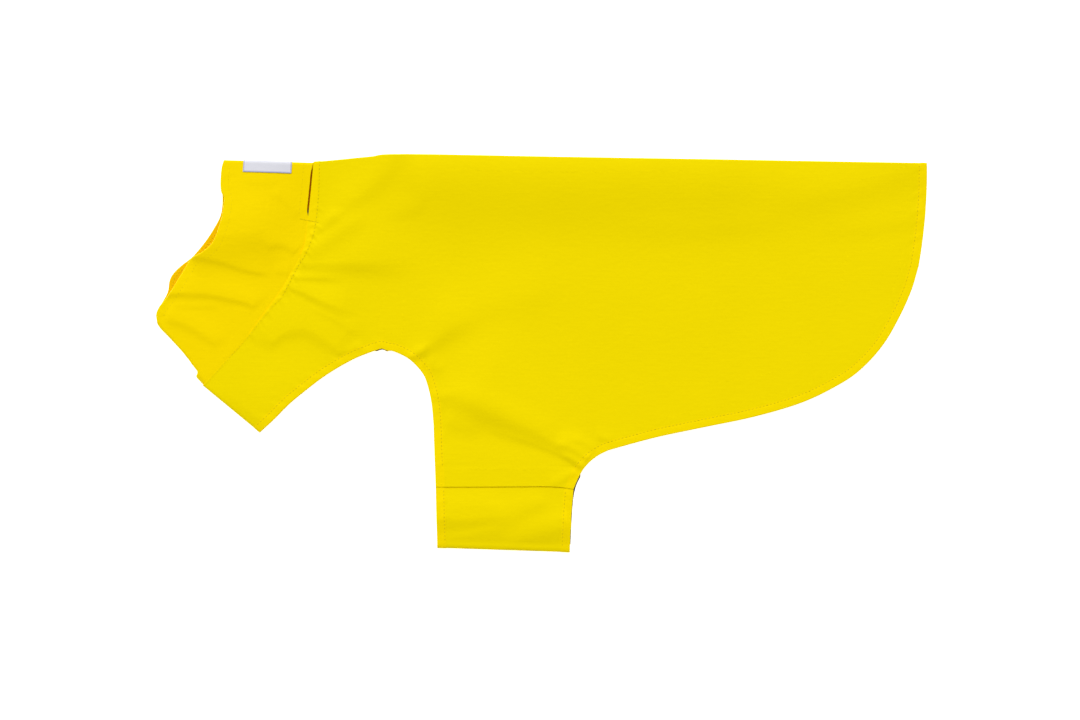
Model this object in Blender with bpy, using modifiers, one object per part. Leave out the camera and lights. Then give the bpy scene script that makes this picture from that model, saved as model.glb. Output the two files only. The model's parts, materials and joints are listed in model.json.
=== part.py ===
"""A dog raincoat, folded along its back and laid flat on its side.

The coat is sewn from a body cut on the fold of the back, a doubled collar, a belly band, linings for the body and
the band, and a blank woven label over the nape. It lies on the plane z = 0 with its head end towards -X and its back
towards +Y. The half on top is the near half, and the half under it is the far half.

Places on the laid coat are in millimetres. `along` runs from the collar seam at the nape towards the tail, so it is
negative on the collar, and `down` runs from the line of the back towards the belly.
"""

from collections import namedtuple

import bmesh
import bpy
import numpy as np

MM = 0.001

# Thickness of each cloth, and the gaps between pieces.
SHELL_WALL = 1.0
COLLAR_WALL = 1.4
LINING_WALL = 1.0
LABEL_WALL = 1.0
GAP = 0.3
SLIT_GAP = 1.0

# Heights of the middle of each layer, from the floor up: shell, lining, lining, shell.
FAR_SHELL = SHELL_WALL / 2
FAR_LINING = SHELL_WALL + GAP + LINING_WALL / 2
NEAR_LINING = FAR_LINING + LINING_WALL + GAP
NEAR_SHELL = NEAR_LINING + (LINING_WALL + SHELL_WALL) / 2 + GAP
NEAR_TOP = NEAR_SHELL + SHELL_WALL / 2
FLAP_LIFT = SHELL_WALL + GAP

# How far the cloth rolls in at each fold.
BACK_ROLL = 3.6
NAPE_ROLL = 3.2
THROAT_ROLL = 4.0
BAND_ROLL = 2.5
CHEST_ROLL = 10.0

# How far the linings stay inside their shells, and how far they show past them at the top of the leg opening and
# along the tail side of the belly band.
LINING_INSET = 1.0
LINING_BACK_INSET = 4.6
LINING_CHEST_INSET = 14.0
BAND_LINING_INSET = 2.4
LEG_PEEP = 1.6
PEEP_SPAN = (0.48, 0.70)
PEEP_FADE = 0.08
BAND_PEEP = 0.8

# The belly band is tucked this far up under the near flap. Above its tucked end the near flap rises between the first
# pair of reaches, and the rise dies away between the second pair of reaches from the flap's tail side.
BAND_TUCK = 22.0
FLAP_RISE = (12.0, 2.0)
FLAP_FADE = (17.0, 3.0)

# The collar stops this far short of the body's corner at the chest.
COLLAR_SHORT = 2.0

# The leash slit runs from the fold of the nape down the collar seam.
SLIT_DEPTH = 33.0
SLIT_RUN_OUT = 4.0

# The label, folded over the nape, and the zone of the collar's far half that clears it.
LABEL_WIDTH = 32.0
LABEL_DEPTH = 8.4
LABEL_FROM_SEAM = 13.4
LABEL_CLEARANCE = LABEL_WALL + GAP + 0.05
LABEL_ZONE = (13.0, 27.0)
PAST_LABEL = 1.5 * LABEL_DEPTH

# The sections that cross the body from the slit and from the head and tail sides of the belly flap, as shares of its
# length.
SHOULDER = 0.22
ARMPIT = 0.385
FLANK = 0.57

# Columns of the body over the chest, the shoulder, the flap and the hem, the rows and columns of the other surfaces,
# the steps round a fold and between two points of a curve, the angle from which an edge is sharp, and how close two
# corners are when they are one.
BODY_COLUMNS = (18, 10, 12, 26)
BODY_ROWS = 24
FLAP_ROWS = 7
LINING_COLUMNS = (8, 5, 6, 13)
LINING_ROWS = 9
COLLAR_ROWS = 9
LABEL_COLUMNS = 6
BAND_COLUMNS = 12
BAND_ROWS = 9
BAND_LINING_COLUMNS = 6
BAND_LINING_ROWS = 4
FOLD_STEPS = 6
CURVE_STEPS = 24
SMOOTH_DEGREES = 40.0
WELD = 0.01

# Colour and roughness of each cloth.
SHELL_YELLOW = ((0.88, 0.70, 0.0), 0.55)
COLLAR_YELLOW = ((0.90, 0.68, 0.0), 0.55)
LINING_NAVY = ((0.01, 0.013, 0.035), 0.85)
LABEL_GREY = ((0.70, 0.70, 0.76), 0.60)

Point = namedtuple("Point", "along down")
Fold = namedtuple("Fold", "start end bow rise back_flank belly_flank fade_in fade_out")

# The body's outline. The top edge is the collar seam, the leash slit and then the fold of the back.
NECK_SEAM = (
    Point(-72.0, 152.9),
    Point(-59.1, 138.6),
    Point(-48.0, 127.6),
    Point(-36.0, 111.5),
    Point(-23.0, 94.0),
    Point(-14.4, 80.0),
    Point(-8.0, 68.0),
    Point(-4.2, 57.5),
    Point(-2.3, 43.0),
    Point(-1.2, 30.0),
    Point(-0.2, 17.0),
    Point(0.6, 5.2),
)
BACK_FOLD = (
    Point(0.6, 5.2),
    Point(18.0, 3.6),
    Point(38.6, 1.6),
    Point(60.4, 0.0),
    Point(164.0, 1.8),
    Point(296.0, 4.0),
    Point(406.2, 5.9),
)
# The bottom edge is the leg opening, the root of the belly flap and then the hem up to the tail.
LEG_OPENING = (
    Point(-34.4, 184.0),
    Point(-25.6, 175.9),
    Point(-14.7, 165.0),
    Point(-3.8, 156.0),
    Point(7.2, 147.6),
    Point(18.2, 140.6),
    Point(29.1, 134.8),
    Point(38.9, 130.8),
    Point(46.5, 129.0),
    Point(54.6, 130.4),
    Point(64.4, 135.6),
    Point(72.9, 144.5),
    Point(76.4, 152.8),
    Point(79.0, 164.5),
    Point(80.3, 178.2),
)
FLAP_ROOT = (
    Point(80.3, 178.2),
    Point(108.0, 186.0),
    Point(140.0, 193.0),
    Point(170.0, 197.4),
    Point(195.7, 195.8),
)
HEM = (
    Point(195.7, 195.8),
    Point(212.0, 191.2),
    Point(231.2, 186.3),
    Point(260.0, 180.3),
    Point(292.0, 173.6),
    Point(324.0, 164.1),
    Point(349.5, 151.6),
    Point(364.0, 141.0),
    Point(377.5, 125.8),
    Point(388.0, 107.8),
    Point(396.0, 90.0),
    Point(400.8, 73.9),
)
# The tail's edge bows out this far, which reaches in over the last columns, from this share of the length.
TAIL_BOW = 1.6
TAIL_BOW_FROM = 0.9
# The belly flap, from its root down to its hem.
FLAP_HEAD_SIDE = (
    Point(80.3, 178.2),
    Point(81.0, 199.0),
    Point(81.8, 220.0),
)
FLAP_TAIL_SIDE = (
    Point(195.7, 195.8),
    Point(190.0, 198.6),
    Point(184.4, 202.6),
    Point(179.0, 208.6),
    Point(175.4, 215.4),
    Point(172.9, 221.4),
)
FLAP_HEM = (
    Point(81.8, 220.0),
    Point(124.4, 219.8),
    Point(158.7, 219.7),
    Point(172.9, 221.4),
)
# The belly band's sides, from the flap's hem down to the fold under the belly.
BAND_HEAD_SIDE = (
    Point(81.8, 220.0),
    Point(82.2, 240.0),
    Point(82.7, 260.2),
)
BAND_TAIL_SIDE = (
    Point(172.9, 221.4),
    Point(172.2, 230.0),
    Point(171.4, 241.0),
    Point(170.5, 263.1),
)
# The collar's free edge on each half, from the nape to the throat. The far half reaches further out.
NEAR_FREE_EDGE = (
    Point(-58.1, 4.2),
    Point(-59.6, 10.0),
    Point(-60.0, 20.0),
    Point(-58.6, 29.0),
    Point(-58.8, 38.0),
    Point(-61.2, 48.5),
    Point(-65.6, 58.8),
    Point(-73.0, 65.2),
    Point(-79.2, 68.6),
    Point(-83.8, 75.4),
    Point(-88.6, 83.4),
    Point(-94.8, 93.3),
    Point(-100.8, 101.0),
    Point(-102.8, 106.3),
    Point(-101.9, 112.1),
)
FAR_FREE_EDGE = (
    Point(-58.1, 4.2),
    Point(-59.6, 10.0),
    Point(-60.2, 20.0),
    Point(-59.2, 29.0),
    Point(-60.4, 40.0),
    Point(-65.3, 49.7),
    Point(-71.2, 58.5),
    Point(-78.9, 67.6),
    Point(-86.2, 73.4),
    Point(-91.4, 78.4),
    Point(-94.2, 83.4),
    Point(-95.6, 91.5),
    Point(-100.8, 101.0),
    Point(-102.8, 106.3),
    Point(-101.9, 112.1),
)
# The collar's fold at the throat, from its seam to its free edge.
THROAT_FOLD = (
    Point(-75.6, 148.2),
    Point(-77.4, 140.2),
    Point(-83.1, 132.5),
    Point(-92.9, 122.1),
    Point(-98.9, 116.2),
    Point(-101.9, 112.1),
)

# What the near half holds, each listed from its head end to its tail end: first the broad rolls, which the lining
# follows at half their height, then the folds of the shell alone.
ROLLS = (
    # The roll of the back and of the nape.
    Fold(Point(10.0, 8.6), Point(430.0, 10.0), 0.0, 2.6, 12.0, 24.0, 0.25, 0.02),
    Fold(Point(-90.0, 7.0), Point(20.0, 8.0), 0.0, 1.0, 12.0, 18.0, 0.02, 0.15),
    # The loft of the side.
    Fold(Point(60.0, 92.0), Point(360.0, 80.0), 0.0, 1.6, 30.0, 40.0, 0.35, 0.35),
)
FOLDS = (
    # The long fold that runs from the leg opening up over the ribs, and its fainter end.
    Fold(Point(70.0, 137.0), Point(134.0, 95.0), 5.0, 3.4, 13.0, 7.0, 0.10, 0.30),
    Fold(Point(112.0, 104.0), Point(262.0, 58.0), 2.0, 1.9, 14.0, 10.0, 0.25, 0.45),
    # The fold that runs from the leg opening down to the corner where the flap leaves the hem.
    Fold(Point(82.0, 152.0), Point(184.0, 208.0), 4.0, 3.2, 10.0, 6.0, 0.20, 0.05),
    Fold(Point(84.0, 178.0), Point(130.0, 197.0), -1.0, 1.2, 7.0, 8.0, 0.20, 0.40),
    # Folds that run from the collar seam over the shoulder.
    Fold(Point(-3.0, 69.0), Point(66.0, 70.0), -1.0, 2.0, 6.0, 6.0, 0.02, 0.55),
    Fold(Point(4.0, 47.0), Point(40.0, 28.0), 2.0, 1.6, 7.0, 5.0, 0.02, 0.60),
    Fold(Point(-10.0, 86.0), Point(62.0, 118.0), 2.0, 1.8, 6.0, 6.0, 0.02, 0.40),
    # Folds of the chest strap.
    Fold(Point(-60.0, 112.0), Point(-12.0, 121.0), 9.0, 1.6, 6.0, 5.0, 0.15, 0.25),
    # Folds across the collar.
    Fold(Point(-78.0, 62.0), Point(-24.0, 72.0), 1.0, 1.8, 8.0, 5.0, 0.05, 0.15),
    Fold(Point(-95.0, 90.0), Point(-34.0, 98.0), 2.0, 1.5, 8.0, 5.0, 0.05, 0.20),
)
# The folds of the belly band, which lie under and below the near flap.
BAND_FOLDS = (
    Fold(Point(100.0, 262.0), Point(160.0, 230.0), -3.0, 1.3, 9.0, 9.0, 0.30, 0.15),
)


def ease(t):
    """A ramp from 0 to 1 that starts and ends level."""
    t = np.clip(t, 0.0, 1.0)
    return t * t * (3.0 - 2.0 * t)


def smooth_curve(points):
    """A Catmull-Rom curve through the points, as closely spaced places."""
    rows = np.array(points, dtype=float)
    rows = np.vstack([2 * rows[0] - rows[1], rows, 2 * rows[-1] - rows[-2]])
    t = np.linspace(0.0, 1.0, CURVE_STEPS, endpoint=False)[:, None]
    spans = []
    for before, here, after, beyond in zip(rows, rows[1:], rows[2:], rows[3:]):
        bend = 2 * before - 5 * here + 4 * after - beyond
        twist = 3 * (here - after) + beyond - before
        spans.append(here + 0.5 * t * ((after - before) + t * (bend + t * twist)))
    return np.vstack(spans + [rows[-2:-1]])


def curve_length(curve):
    """Length of a curve."""
    return np.linalg.norm(np.diff(curve, axis=0), axis=1).sum()


def along_curve(curve, shares):
    """Places at the given shares of a curve's length."""
    lengths = np.concatenate([[0.0], np.cumsum(np.linalg.norm(np.diff(curve, axis=0), axis=1))])
    reach = np.asarray(shares) * lengths[-1]
    return np.stack([np.interp(reach, lengths, curve[:, axis]) for axis in range(2)], axis=-1)


def ridge(fold, along, down):
    """Height of one fold: a rounded ridge along a bowed line, with its own width on each flank."""
    run = np.subtract(fold.end, fold.start)
    length = np.hypot(*run)
    step_along = along - fold.start.along
    step_down = down - fold.start.down
    t = (step_along * run[0] + step_down * run[1]) / length**2
    toward_back = (step_along * run[1] - step_down * run[0]) / length - 4 * fold.bow * t * (1 - t)
    flank = np.where(toward_back > 0, fold.back_flank, fold.belly_flank)
    fade = ease(t / fold.fade_in) * ease((1 - t) / fold.fade_out)
    return fold.rise * fade * np.exp(-((toward_back / flank) ** 2))


def relief(folds, along, down):
    """Height of all the folds over the flat-laid cloth."""
    return sum(ridge(fold, along, down) for fold in folds)


def over_width(along, down):
    """Share of the flap's lift at a place: none above the belly band's tucked end, all of it over the band."""
    above_band = FLAP_HEM[0].down - BAND_TUCK - down
    before_side = FLAP_TAIL_SIDE[0].along - along
    onto_band = ease((FLAP_RISE[0] - above_band) / (FLAP_RISE[0] - FLAP_RISE[1]))
    short_of_side = ease((before_side - FLAP_FADE[1]) / (FLAP_FADE[0] - FLAP_FADE[1]))
    return onto_band * short_of_side


def chest_drop(along, down):
    """How far the near half rolls down to meet the far half at the chest seam."""
    top, foot = NECK_SEAM[0], LEG_OPENING[0]
    run = np.subtract(foot, top)
    inside = ((along - top.along) * run[1] - (down - top.down) * run[0]) / np.hypot(*run)
    lap = SHELL_WALL + GAP + SHELL_WALL / 2
    return (NEAR_SHELL - lap) * (1 - ease(inside / CHEST_ROLL))


def shell_height(plan):
    """Height of the middle of the near shell."""
    along, down = plan[..., 0], plan[..., 1]
    folds = relief(ROLLS + FOLDS + BAND_FOLDS, along, down)
    return NEAR_SHELL + folds + FLAP_LIFT * over_width(along, down) - chest_drop(along, down)


def lining_height(plan):
    """Height of the middle of the near lining."""
    return NEAR_LINING + relief(ROLLS, plan[..., 0], plan[..., 1]) / 2


def collar_height(plan):
    """Height of the middle of the collar's near half, level with the shell's top at their seam."""
    return NEAR_TOP - COLLAR_WALL / 2 + relief(ROLLS + FOLDS, plan[..., 0], plan[..., 1])


def collar_far_height(plan):
    """Height of the middle of the collar's far half, which clears the label under the nape."""
    start, end = LABEL_ZONE
    return COLLAR_WALL / 2 + LABEL_CLEARANCE * (1 - ease((plan[..., 1] - start) / (end - start)))


def band_height(plan):
    """Height of the middle of the belly band's near half."""
    return NEAR_SHELL + relief(BAND_FOLDS, plan[..., 0], plan[..., 1])


def at_height(plan, height):
    """Places in space from places on the laid coat."""
    height = np.broadcast_to(height, plan.shape[:-1])
    return np.concatenate([plan, height[..., None]], axis=-1)


def ruled(first, last, shares):
    """Rows that run straight from the first curve to the last."""
    shares = np.asarray(shares)[:, None, None]
    return first * (1 - shares) + last * shares


def toward(start, end):
    """Unit directions from the start places to the end places."""
    run = end - start
    return run / np.linalg.norm(run, axis=-1, keepdims=True)


def round_fold(far, near, fold):
    """Rows round a fold, half an ellipse from the far layer's edge through the fold line to the near layer's."""
    angles = np.linspace(-np.pi / 2, np.pi / 2, FOLD_STEPS + 1)[:, None, None]
    plan = near[..., :2] + np.cos(angles) * (fold - near[..., :2])
    middle = (far[..., 2:] + near[..., 2:]) / 2
    reach = (near[..., 2:] - far[..., 2:]) / 2
    return np.concatenate([plan, middle + reach * np.sin(angles)], axis=-1)


def shares_of(counts):
    """Shares of the body's length at its columns, from the counts over its four stretches."""
    stretches = zip((0.0, SHOULDER, ARMPIT, FLANK), (SHOULDER, ARMPIT, FLANK, 1.0), counts)
    starts = [np.linspace(start, end, count, endpoint=False) for start, end, count in stretches]
    return np.concatenate(starts + [[1.0]])


def top_edge(shares):
    """The body's top edge: the collar seam and the slit up to the shoulder section, then the fold of the back."""
    seam = along_curve(smooth_curve(NECK_SEAM), np.clip(shares / SHOULDER, 0, 1))
    back = along_curve(smooth_curve(BACK_FOLD), np.clip((shares - SHOULDER) / (1 - SHOULDER), 0, 1))
    return np.where((shares < SHOULDER)[:, None], seam, back)


def bottom_edge(shares):
    """The body's bottom edge: the leg opening, the root of the belly flap and the hem."""
    leg = along_curve(smooth_curve(LEG_OPENING), np.clip(shares / ARMPIT, 0, 1))
    root = along_curve(smooth_curve(FLAP_ROOT), np.clip((shares - ARMPIT) / (FLANK - ARMPIT), 0, 1))
    hem = along_curve(smooth_curve(HEM), np.clip((shares - FLANK) / (1 - FLANK), 0, 1))
    over_leg = (shares < ARMPIT)[:, None]
    over_root = (shares < FLANK)[:, None]
    return np.where(over_leg, leg, np.where(over_root, root, hem))


def leg_peep(shares):
    """Share of the leg opening's peep at each column: all of it at the top of the arch."""
    start, end = PEEP_SPAN
    return ease((shares / ARMPIT - start) / PEEP_FADE) * ease((end - shares / ARMPIT) / PEEP_FADE)


def body_plan(shares, top, bottom, rows):
    """Rows of a half of the body from its top edge to its bottom edge, with the tail's edge bowed out."""
    down_shares = np.linspace(0.0, 1.0, rows + 1)
    plan = ruled(top, bottom, down_shares)
    at_tail = ease((shares - TAIL_BOW_FROM) / (1 - TAIL_BOW_FROM))
    plan[..., 0] += 4 * TAIL_BOW * np.outer(down_shares * (1 - down_shares), at_tail)
    return plan


def flap_plan(root, rows):
    """Rows of the belly flap from its root to its hem, drawn onto its curved sides."""
    down_shares = np.linspace(0.0, 1.0, rows + 1)
    across = np.linspace(0.0, 1.0, len(root))
    plan = ruled(root, along_curve(smooth_curve(FLAP_HEM), across), down_shares)
    head_pull = along_curve(smooth_curve(FLAP_HEAD_SIDE), down_shares) - plan[:, 0]
    tail_pull = along_curve(smooth_curve(FLAP_TAIL_SIDE), down_shares) - plan[:, -1]
    return plan + ruled(head_pull, tail_pull, across).transpose(1, 0, 2)


def build_shell():
    """The body: near half, fold of the back, far half and both belly flaps, as one open surface with a wall."""
    chest, shoulder, flap, _ = BODY_COLUMNS
    on_back = slice(chest, None)
    on_root = slice(chest + shoulder, chest + shoulder + flap + 1)
    shares = shares_of(BODY_COLUMNS)
    top = top_edge(shares)
    bottom = bottom_edge(shares)
    fold = top[on_back] + (0.0, SHELL_WALL / 2)
    top[on_back] += (0.0, BACK_ROLL)
    peep = LEG_PEEP * leg_peep(shares)[:, None]
    near = body_plan(shares, top, bottom, BODY_ROWS)
    far = body_plan(shares, top, bottom + peep * toward(top, bottom), 1)
    flap = flap_plan(bottom[on_root], FLAP_ROWS)
    near = at_height(near, shell_height(near))
    far = at_height(far, FAR_SHELL)
    back = round_fold(far[0, on_back], near[0, on_back], fold)
    near_flap = at_height(flap, shell_height(flap))
    far_flap = at_height(flap, FAR_SHELL)
    return cloth("shell", [near, back, far, near_flap, far_flap], SHELL_WALL, SHELL_YELLOW)


def build_lining():
    """The body's lining, folded inside the shell and cut a little smaller."""
    on_back = slice(LINING_COLUMNS[0], None)
    shares = shares_of(LINING_COLUMNS)
    start = ARMPIT * LINING_CHEST_INSET / curve_length(smooth_curve(LEG_OPENING))
    shares[: LINING_COLUMNS[0]] = np.linspace(start, SHOULDER, LINING_COLUMNS[0], endpoint=False)
    shares[-1] -= LINING_INSET / curve_length(smooth_curve(BACK_FOLD))
    top = top_edge(shares)
    bottom = bottom_edge(shares)
    downward = toward(top, bottom)
    fold = top[on_back] + (0.0, LINING_BACK_INSET)
    top += LINING_INSET * downward
    top[on_back] = fold + (0.0, LINING_WALL)
    peep = leg_peep(shares)[:, None]
    far_reach = LEG_PEEP * peep - LINING_INSET * (1 - peep)
    near = body_plan(shares, top, bottom - LINING_INSET * downward, LINING_ROWS)
    far = body_plan(shares, top, bottom + far_reach * downward, 1)
    near = at_height(near, lining_height(near))
    far = at_height(far, FAR_LINING)
    back = round_fold(far[0, on_back], near[0, on_back], fold)
    return cloth("lining", [near, back, far], LINING_WALL, LINING_NAVY)


def collar_plan(shares, free_edge):
    """Rows of half the collar from its seam to its free edge, at shares of the way from the nape to the throat."""
    seam = along_curve(smooth_curve(NECK_SEAM), 1 - shares * (1 - seam_share(COLLAR_SHORT)))
    free = along_curve(smooth_curve(free_edge), shares)
    beyond_slit = ease((seam[:, 1:] - NECK_SEAM[-1].down - SLIT_DEPTH) / SLIT_RUN_OUT)
    gap = SLIT_GAP + (GAP - SLIT_GAP) * beyond_slit
    return ruled(seam + gap * toward(seam, free), free, np.linspace(0.0, 1.0, COLLAR_ROWS + 1))


def seam_share(reach):
    """A length as a share of the collar seam's."""
    return reach / curve_length(smooth_curve(NECK_SEAM))


def collar_layers(shares, across=None):
    """The collar's far half, nape fold and near half at the shares, read at the given shares across its width."""
    halves = []
    for free_edge, height in ((FAR_FREE_EDGE, collar_far_height), (NEAR_FREE_EDGE, collar_height)):
        half = collar_plan(shares, free_edge)
        half = half if across is None else read_across(half, across)
        halves.append(at_height(half, height(half)))
    far, near = halves
    nape_line = collar_plan(np.array([seam_share(COLLAR_WALL / 2)]), NEAR_FREE_EDGE)
    nape_line = nape_line if across is None else read_across(nape_line, across)
    return far, round_fold(far[:, 0], near[:, 0], nape_line[:, 0]), near


def read_across(plan, shares):
    """Rows read at shares of the way from a plan's first row to its last."""
    rows = np.asarray(shares) * (len(plan) - 1)
    lower = np.minimum(rows.astype(int), len(plan) - 2)
    part = (rows - lower)[:, None, None]
    return plan[lower] * (1 - part) + plan[lower + 1] * part


def build_collar():
    """The collar: far half, nape fold, near half and throat fold, as one tube open at both edges."""
    under_label = seam_share(np.array([NAPE_ROLL, LABEL_DEPTH, PAST_LABEL]))
    body_columns = np.arange(BODY_COLUMNS[0] - 2, 0, -1) / BODY_COLUMNS[0]
    facing_body = (1 - body_columns) / (1 - seam_share(COLLAR_SHORT))
    shares = np.concatenate([under_label, facing_body, [1 - seam_share(THROAT_ROLL)]])
    far, nape, near = collar_layers(shares)
    throat_line = along_curve(smooth_curve(THROAT_FOLD), np.linspace(0.0, 1.0, COLLAR_ROWS + 1))
    throat_line += COLLAR_WALL / 2 * toward(throat_line, near[:, -1, :2])
    throat = round_fold(far[:, -1], near[:, -1], throat_line)
    return cloth("collar", [far, nape, near, throat], COLLAR_WALL, COLLAR_YELLOW)


def build_label():
    """The label: a strip that lies on the collar's near half, goes round the nape and ends under the far half."""
    shares = seam_share(np.array([NAPE_ROLL, (NAPE_ROLL + LABEL_DEPTH) / 2, LABEL_DEPTH]))
    width = np.hypot(*np.subtract(NEAR_FREE_EDGE[0], NECK_SEAM[-1]))
    across = (LABEL_FROM_SEAM + np.linspace(0.0, LABEL_WIDTH, LABEL_COLUMNS + 1)) / width
    far, nape, near = collar_layers(shares, across)
    path = np.concatenate([far[:, :0:-1].transpose(1, 0, 2), nape, near[:, 1:].transpose(1, 0, 2)])
    off_collar = COLLAR_WALL / 2 + GAP + LABEL_WALL / 2
    return cloth("label", [path + off_collar * outward(path)], LABEL_WALL, LABEL_GREY)


def outward(path):
    """Unit directions out of a strip that is folded over an edge, whose last row lies on top."""
    normal = np.cross(np.gradient(path, axis=1), np.gradient(path, axis=0))
    normal /= np.linalg.norm(normal, axis=-1, keepdims=True)
    return normal * np.sign(normal[-1, 0, 2])


def band_layers(columns, rows, tail_reach, inset, roll):
    """The plan of half the belly band from its tucked end to its fold, kept inside by the inset, and its fold line."""
    down_shares = np.linspace(0.0, 1.0, rows + 1)
    head_side = along_curve(smooth_curve(BAND_HEAD_SIDE), down_shares) + (inset, 0.0)
    tail_side = along_curve(smooth_curve(BAND_TAIL_SIDE), down_shares) + (tail_reach, 0.0)
    plan = ruled(head_side, tail_side, np.linspace(0.0, 1.0, columns + 1)).transpose(1, 0, 2)
    fold = plan[-1] - (0.0, inset)
    plan[-1] = fold - (0.0, roll)
    tucked = plan[0] - (0.0, BAND_TUCK - inset)
    return np.concatenate([ruled(tucked, plan[0], (0.0, 0.5)), plan]), fold


def build_band():
    """The belly band: from under the near flap, round the fold under the belly, to the far flap's seam."""
    plan, fold = band_layers(BAND_COLUMNS, BAND_ROWS, 0.0, 0.0, BAND_ROLL)
    far_seam = along_curve(smooth_curve(FLAP_HEM), np.linspace(0.0, 1.0, BAND_COLUMNS + 1)) + (0.0, GAP)
    near = at_height(plan, band_height(plan))
    far = at_height(np.stack([far_seam, plan[-1]]), FAR_SHELL)
    under = round_fold(far[-1], near[-1], fold - (0.0, SHELL_WALL / 2))
    return cloth("belly_band", [near, under, far], SHELL_WALL, SHELL_YELLOW)


def build_band_lining():
    """The belly band's lining, folded inside it, which shows past its tail side."""
    plan, fold = band_layers(BAND_LINING_COLUMNS, BAND_LINING_ROWS, BAND_PEEP, BAND_LINING_INSET, LINING_WALL)
    near = at_height(plan, NEAR_LINING)
    far = at_height(plan[[0, -1]], FAR_LINING)
    under = round_fold(far[-1], near[-1], fold)
    return cloth("band_lining", [near, under, far], LINING_WALL, LINING_NAVY)


def in_frame(places):
    """Metres about the origin, +X to the tail and +Y to the back, from millimetres on the laid coat."""
    middle_along = (min(point.along for point in FAR_FREE_EDGE) + BACK_FOLD[-1].along) / 2
    middle_down = (min(point.down for point in BACK_FOLD) + BAND_TAIL_SIDE[-1].down) / 2
    return (places - (middle_along, middle_down, 0.0)) * (MM, -MM, MM)


def cloth(name, patches, wall, finish):
    """One piece of cloth: its patches joined where they meet, placed about the origin and given its thickness."""
    shape = bmesh.new()
    for patch in patches:
        corners = [[shape.verts.new(place) for place in row] for row in in_frame(patch)]
        for row, next_row in zip(corners, corners[1:]):
            for quad in zip(row, row[1:], next_row[1:], next_row):
                shape.faces.new(quad)
    bmesh.ops.remove_doubles(shape, verts=shape.verts, dist=WELD * MM)
    bmesh.ops.recalc_face_normals(shape, faces=shape.faces)
    highest = max(shape.faces, key=lambda face: face.calc_center_median().z)
    if highest.normal.z < 0:
        bmesh.ops.reverse_faces(shape, faces=shape.faces)
    mesh = bpy.data.meshes.new(name)
    shape.to_mesh(mesh)
    shape.free()
    mesh.materials.append(cloth_material(name, *finish))
    mesh.shade_smooth()
    mesh.set_sharp_from_angle(angle=np.radians(SMOOTH_DEGREES))
    piece = bpy.data.objects.new(name, mesh)
    raincoat.objects.link(piece)
    thickness = piece.modifiers.new("wall", "SOLIDIFY")
    thickness.thickness = wall * MM
    thickness.offset = 0.0
    thickness.use_even_offset = True
    return piece


def cloth_material(name, colour, roughness):
    """A cloth's finish."""
    finish = bpy.data.materials.new(name + "_cloth")
    finish.use_nodes = True
    shader = finish.node_tree.nodes["Principled BSDF"]
    shader.inputs["Base Color"].default_value = (*colour, 1.0)
    shader.inputs["Roughness"].default_value = roughness
    shader.inputs["Metallic"].default_value = 0.0
    return finish


for leftover in list(bpy.data.objects):
    bpy.data.objects.remove(leftover)
raincoat = bpy.data.collections.new("dog_raincoat")
bpy.context.scene.collection.children.link(raincoat)
build_shell()
build_lining()
build_collar()
build_label()
build_band()
build_band_lining()
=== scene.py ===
# %% [markdown]
# # A dog raincoat, folded along its back and laid flat
#
# The coat is a light rain shell: one body cut on the fold of the back, a doubled collar sewn to its neck, a belly
# band that goes round under the dog, a dark lining, and a small woven label folded over the nape. It lies on its side
# on a table, so what we see is its near half, with the far half straight beneath it.
#
# The lesson is about flat cloth. Such cloth looks right when four things are right: the cut of its outline, the long
# soft folds that it keeps from being handled, the hems with their stitches, and a weave fine enough that you feel it
# more than you see it. We make each in turn.

import json
from collections import namedtuple

import bpy
import numpy as np
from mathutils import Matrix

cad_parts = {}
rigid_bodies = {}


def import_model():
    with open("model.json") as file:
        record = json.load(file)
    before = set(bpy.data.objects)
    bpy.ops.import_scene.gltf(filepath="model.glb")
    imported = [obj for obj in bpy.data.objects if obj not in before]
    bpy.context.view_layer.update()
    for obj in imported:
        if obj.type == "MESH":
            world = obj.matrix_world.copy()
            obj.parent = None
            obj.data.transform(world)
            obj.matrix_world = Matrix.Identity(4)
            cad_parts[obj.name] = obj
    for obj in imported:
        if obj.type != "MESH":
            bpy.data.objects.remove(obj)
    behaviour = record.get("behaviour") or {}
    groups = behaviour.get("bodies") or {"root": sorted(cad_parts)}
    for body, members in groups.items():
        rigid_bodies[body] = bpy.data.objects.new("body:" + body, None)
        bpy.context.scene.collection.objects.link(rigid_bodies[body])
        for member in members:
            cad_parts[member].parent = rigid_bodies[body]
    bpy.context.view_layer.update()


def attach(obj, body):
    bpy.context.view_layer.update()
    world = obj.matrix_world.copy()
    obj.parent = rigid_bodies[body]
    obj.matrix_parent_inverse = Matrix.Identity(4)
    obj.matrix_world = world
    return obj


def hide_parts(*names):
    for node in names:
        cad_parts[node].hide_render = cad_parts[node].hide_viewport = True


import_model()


# %% [markdown]
# ## The pattern
#
# A coat starts as a paper pattern. Ours is drawn in millimetres on the coat as it lies: `along` runs from the collar
# seam at the nape towards the tail, and `down` runs from the line of the back towards the belly. Each edge is a short
# table of points, and a smooth curve is passed through them, as a pattern cutter draws with a French curve. The edges
# could be drawn by hand as Blender curves, but a table of numbers says at a glance where each corner is, and two
# pieces that meet can share it.

# %% The outline of the body
Point = namedtuple("Point", "along down")


def drawn_through(*places):
    """A table of points from pairs of numbers."""
    return tuple(Point(*place) for place in places)


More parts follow.
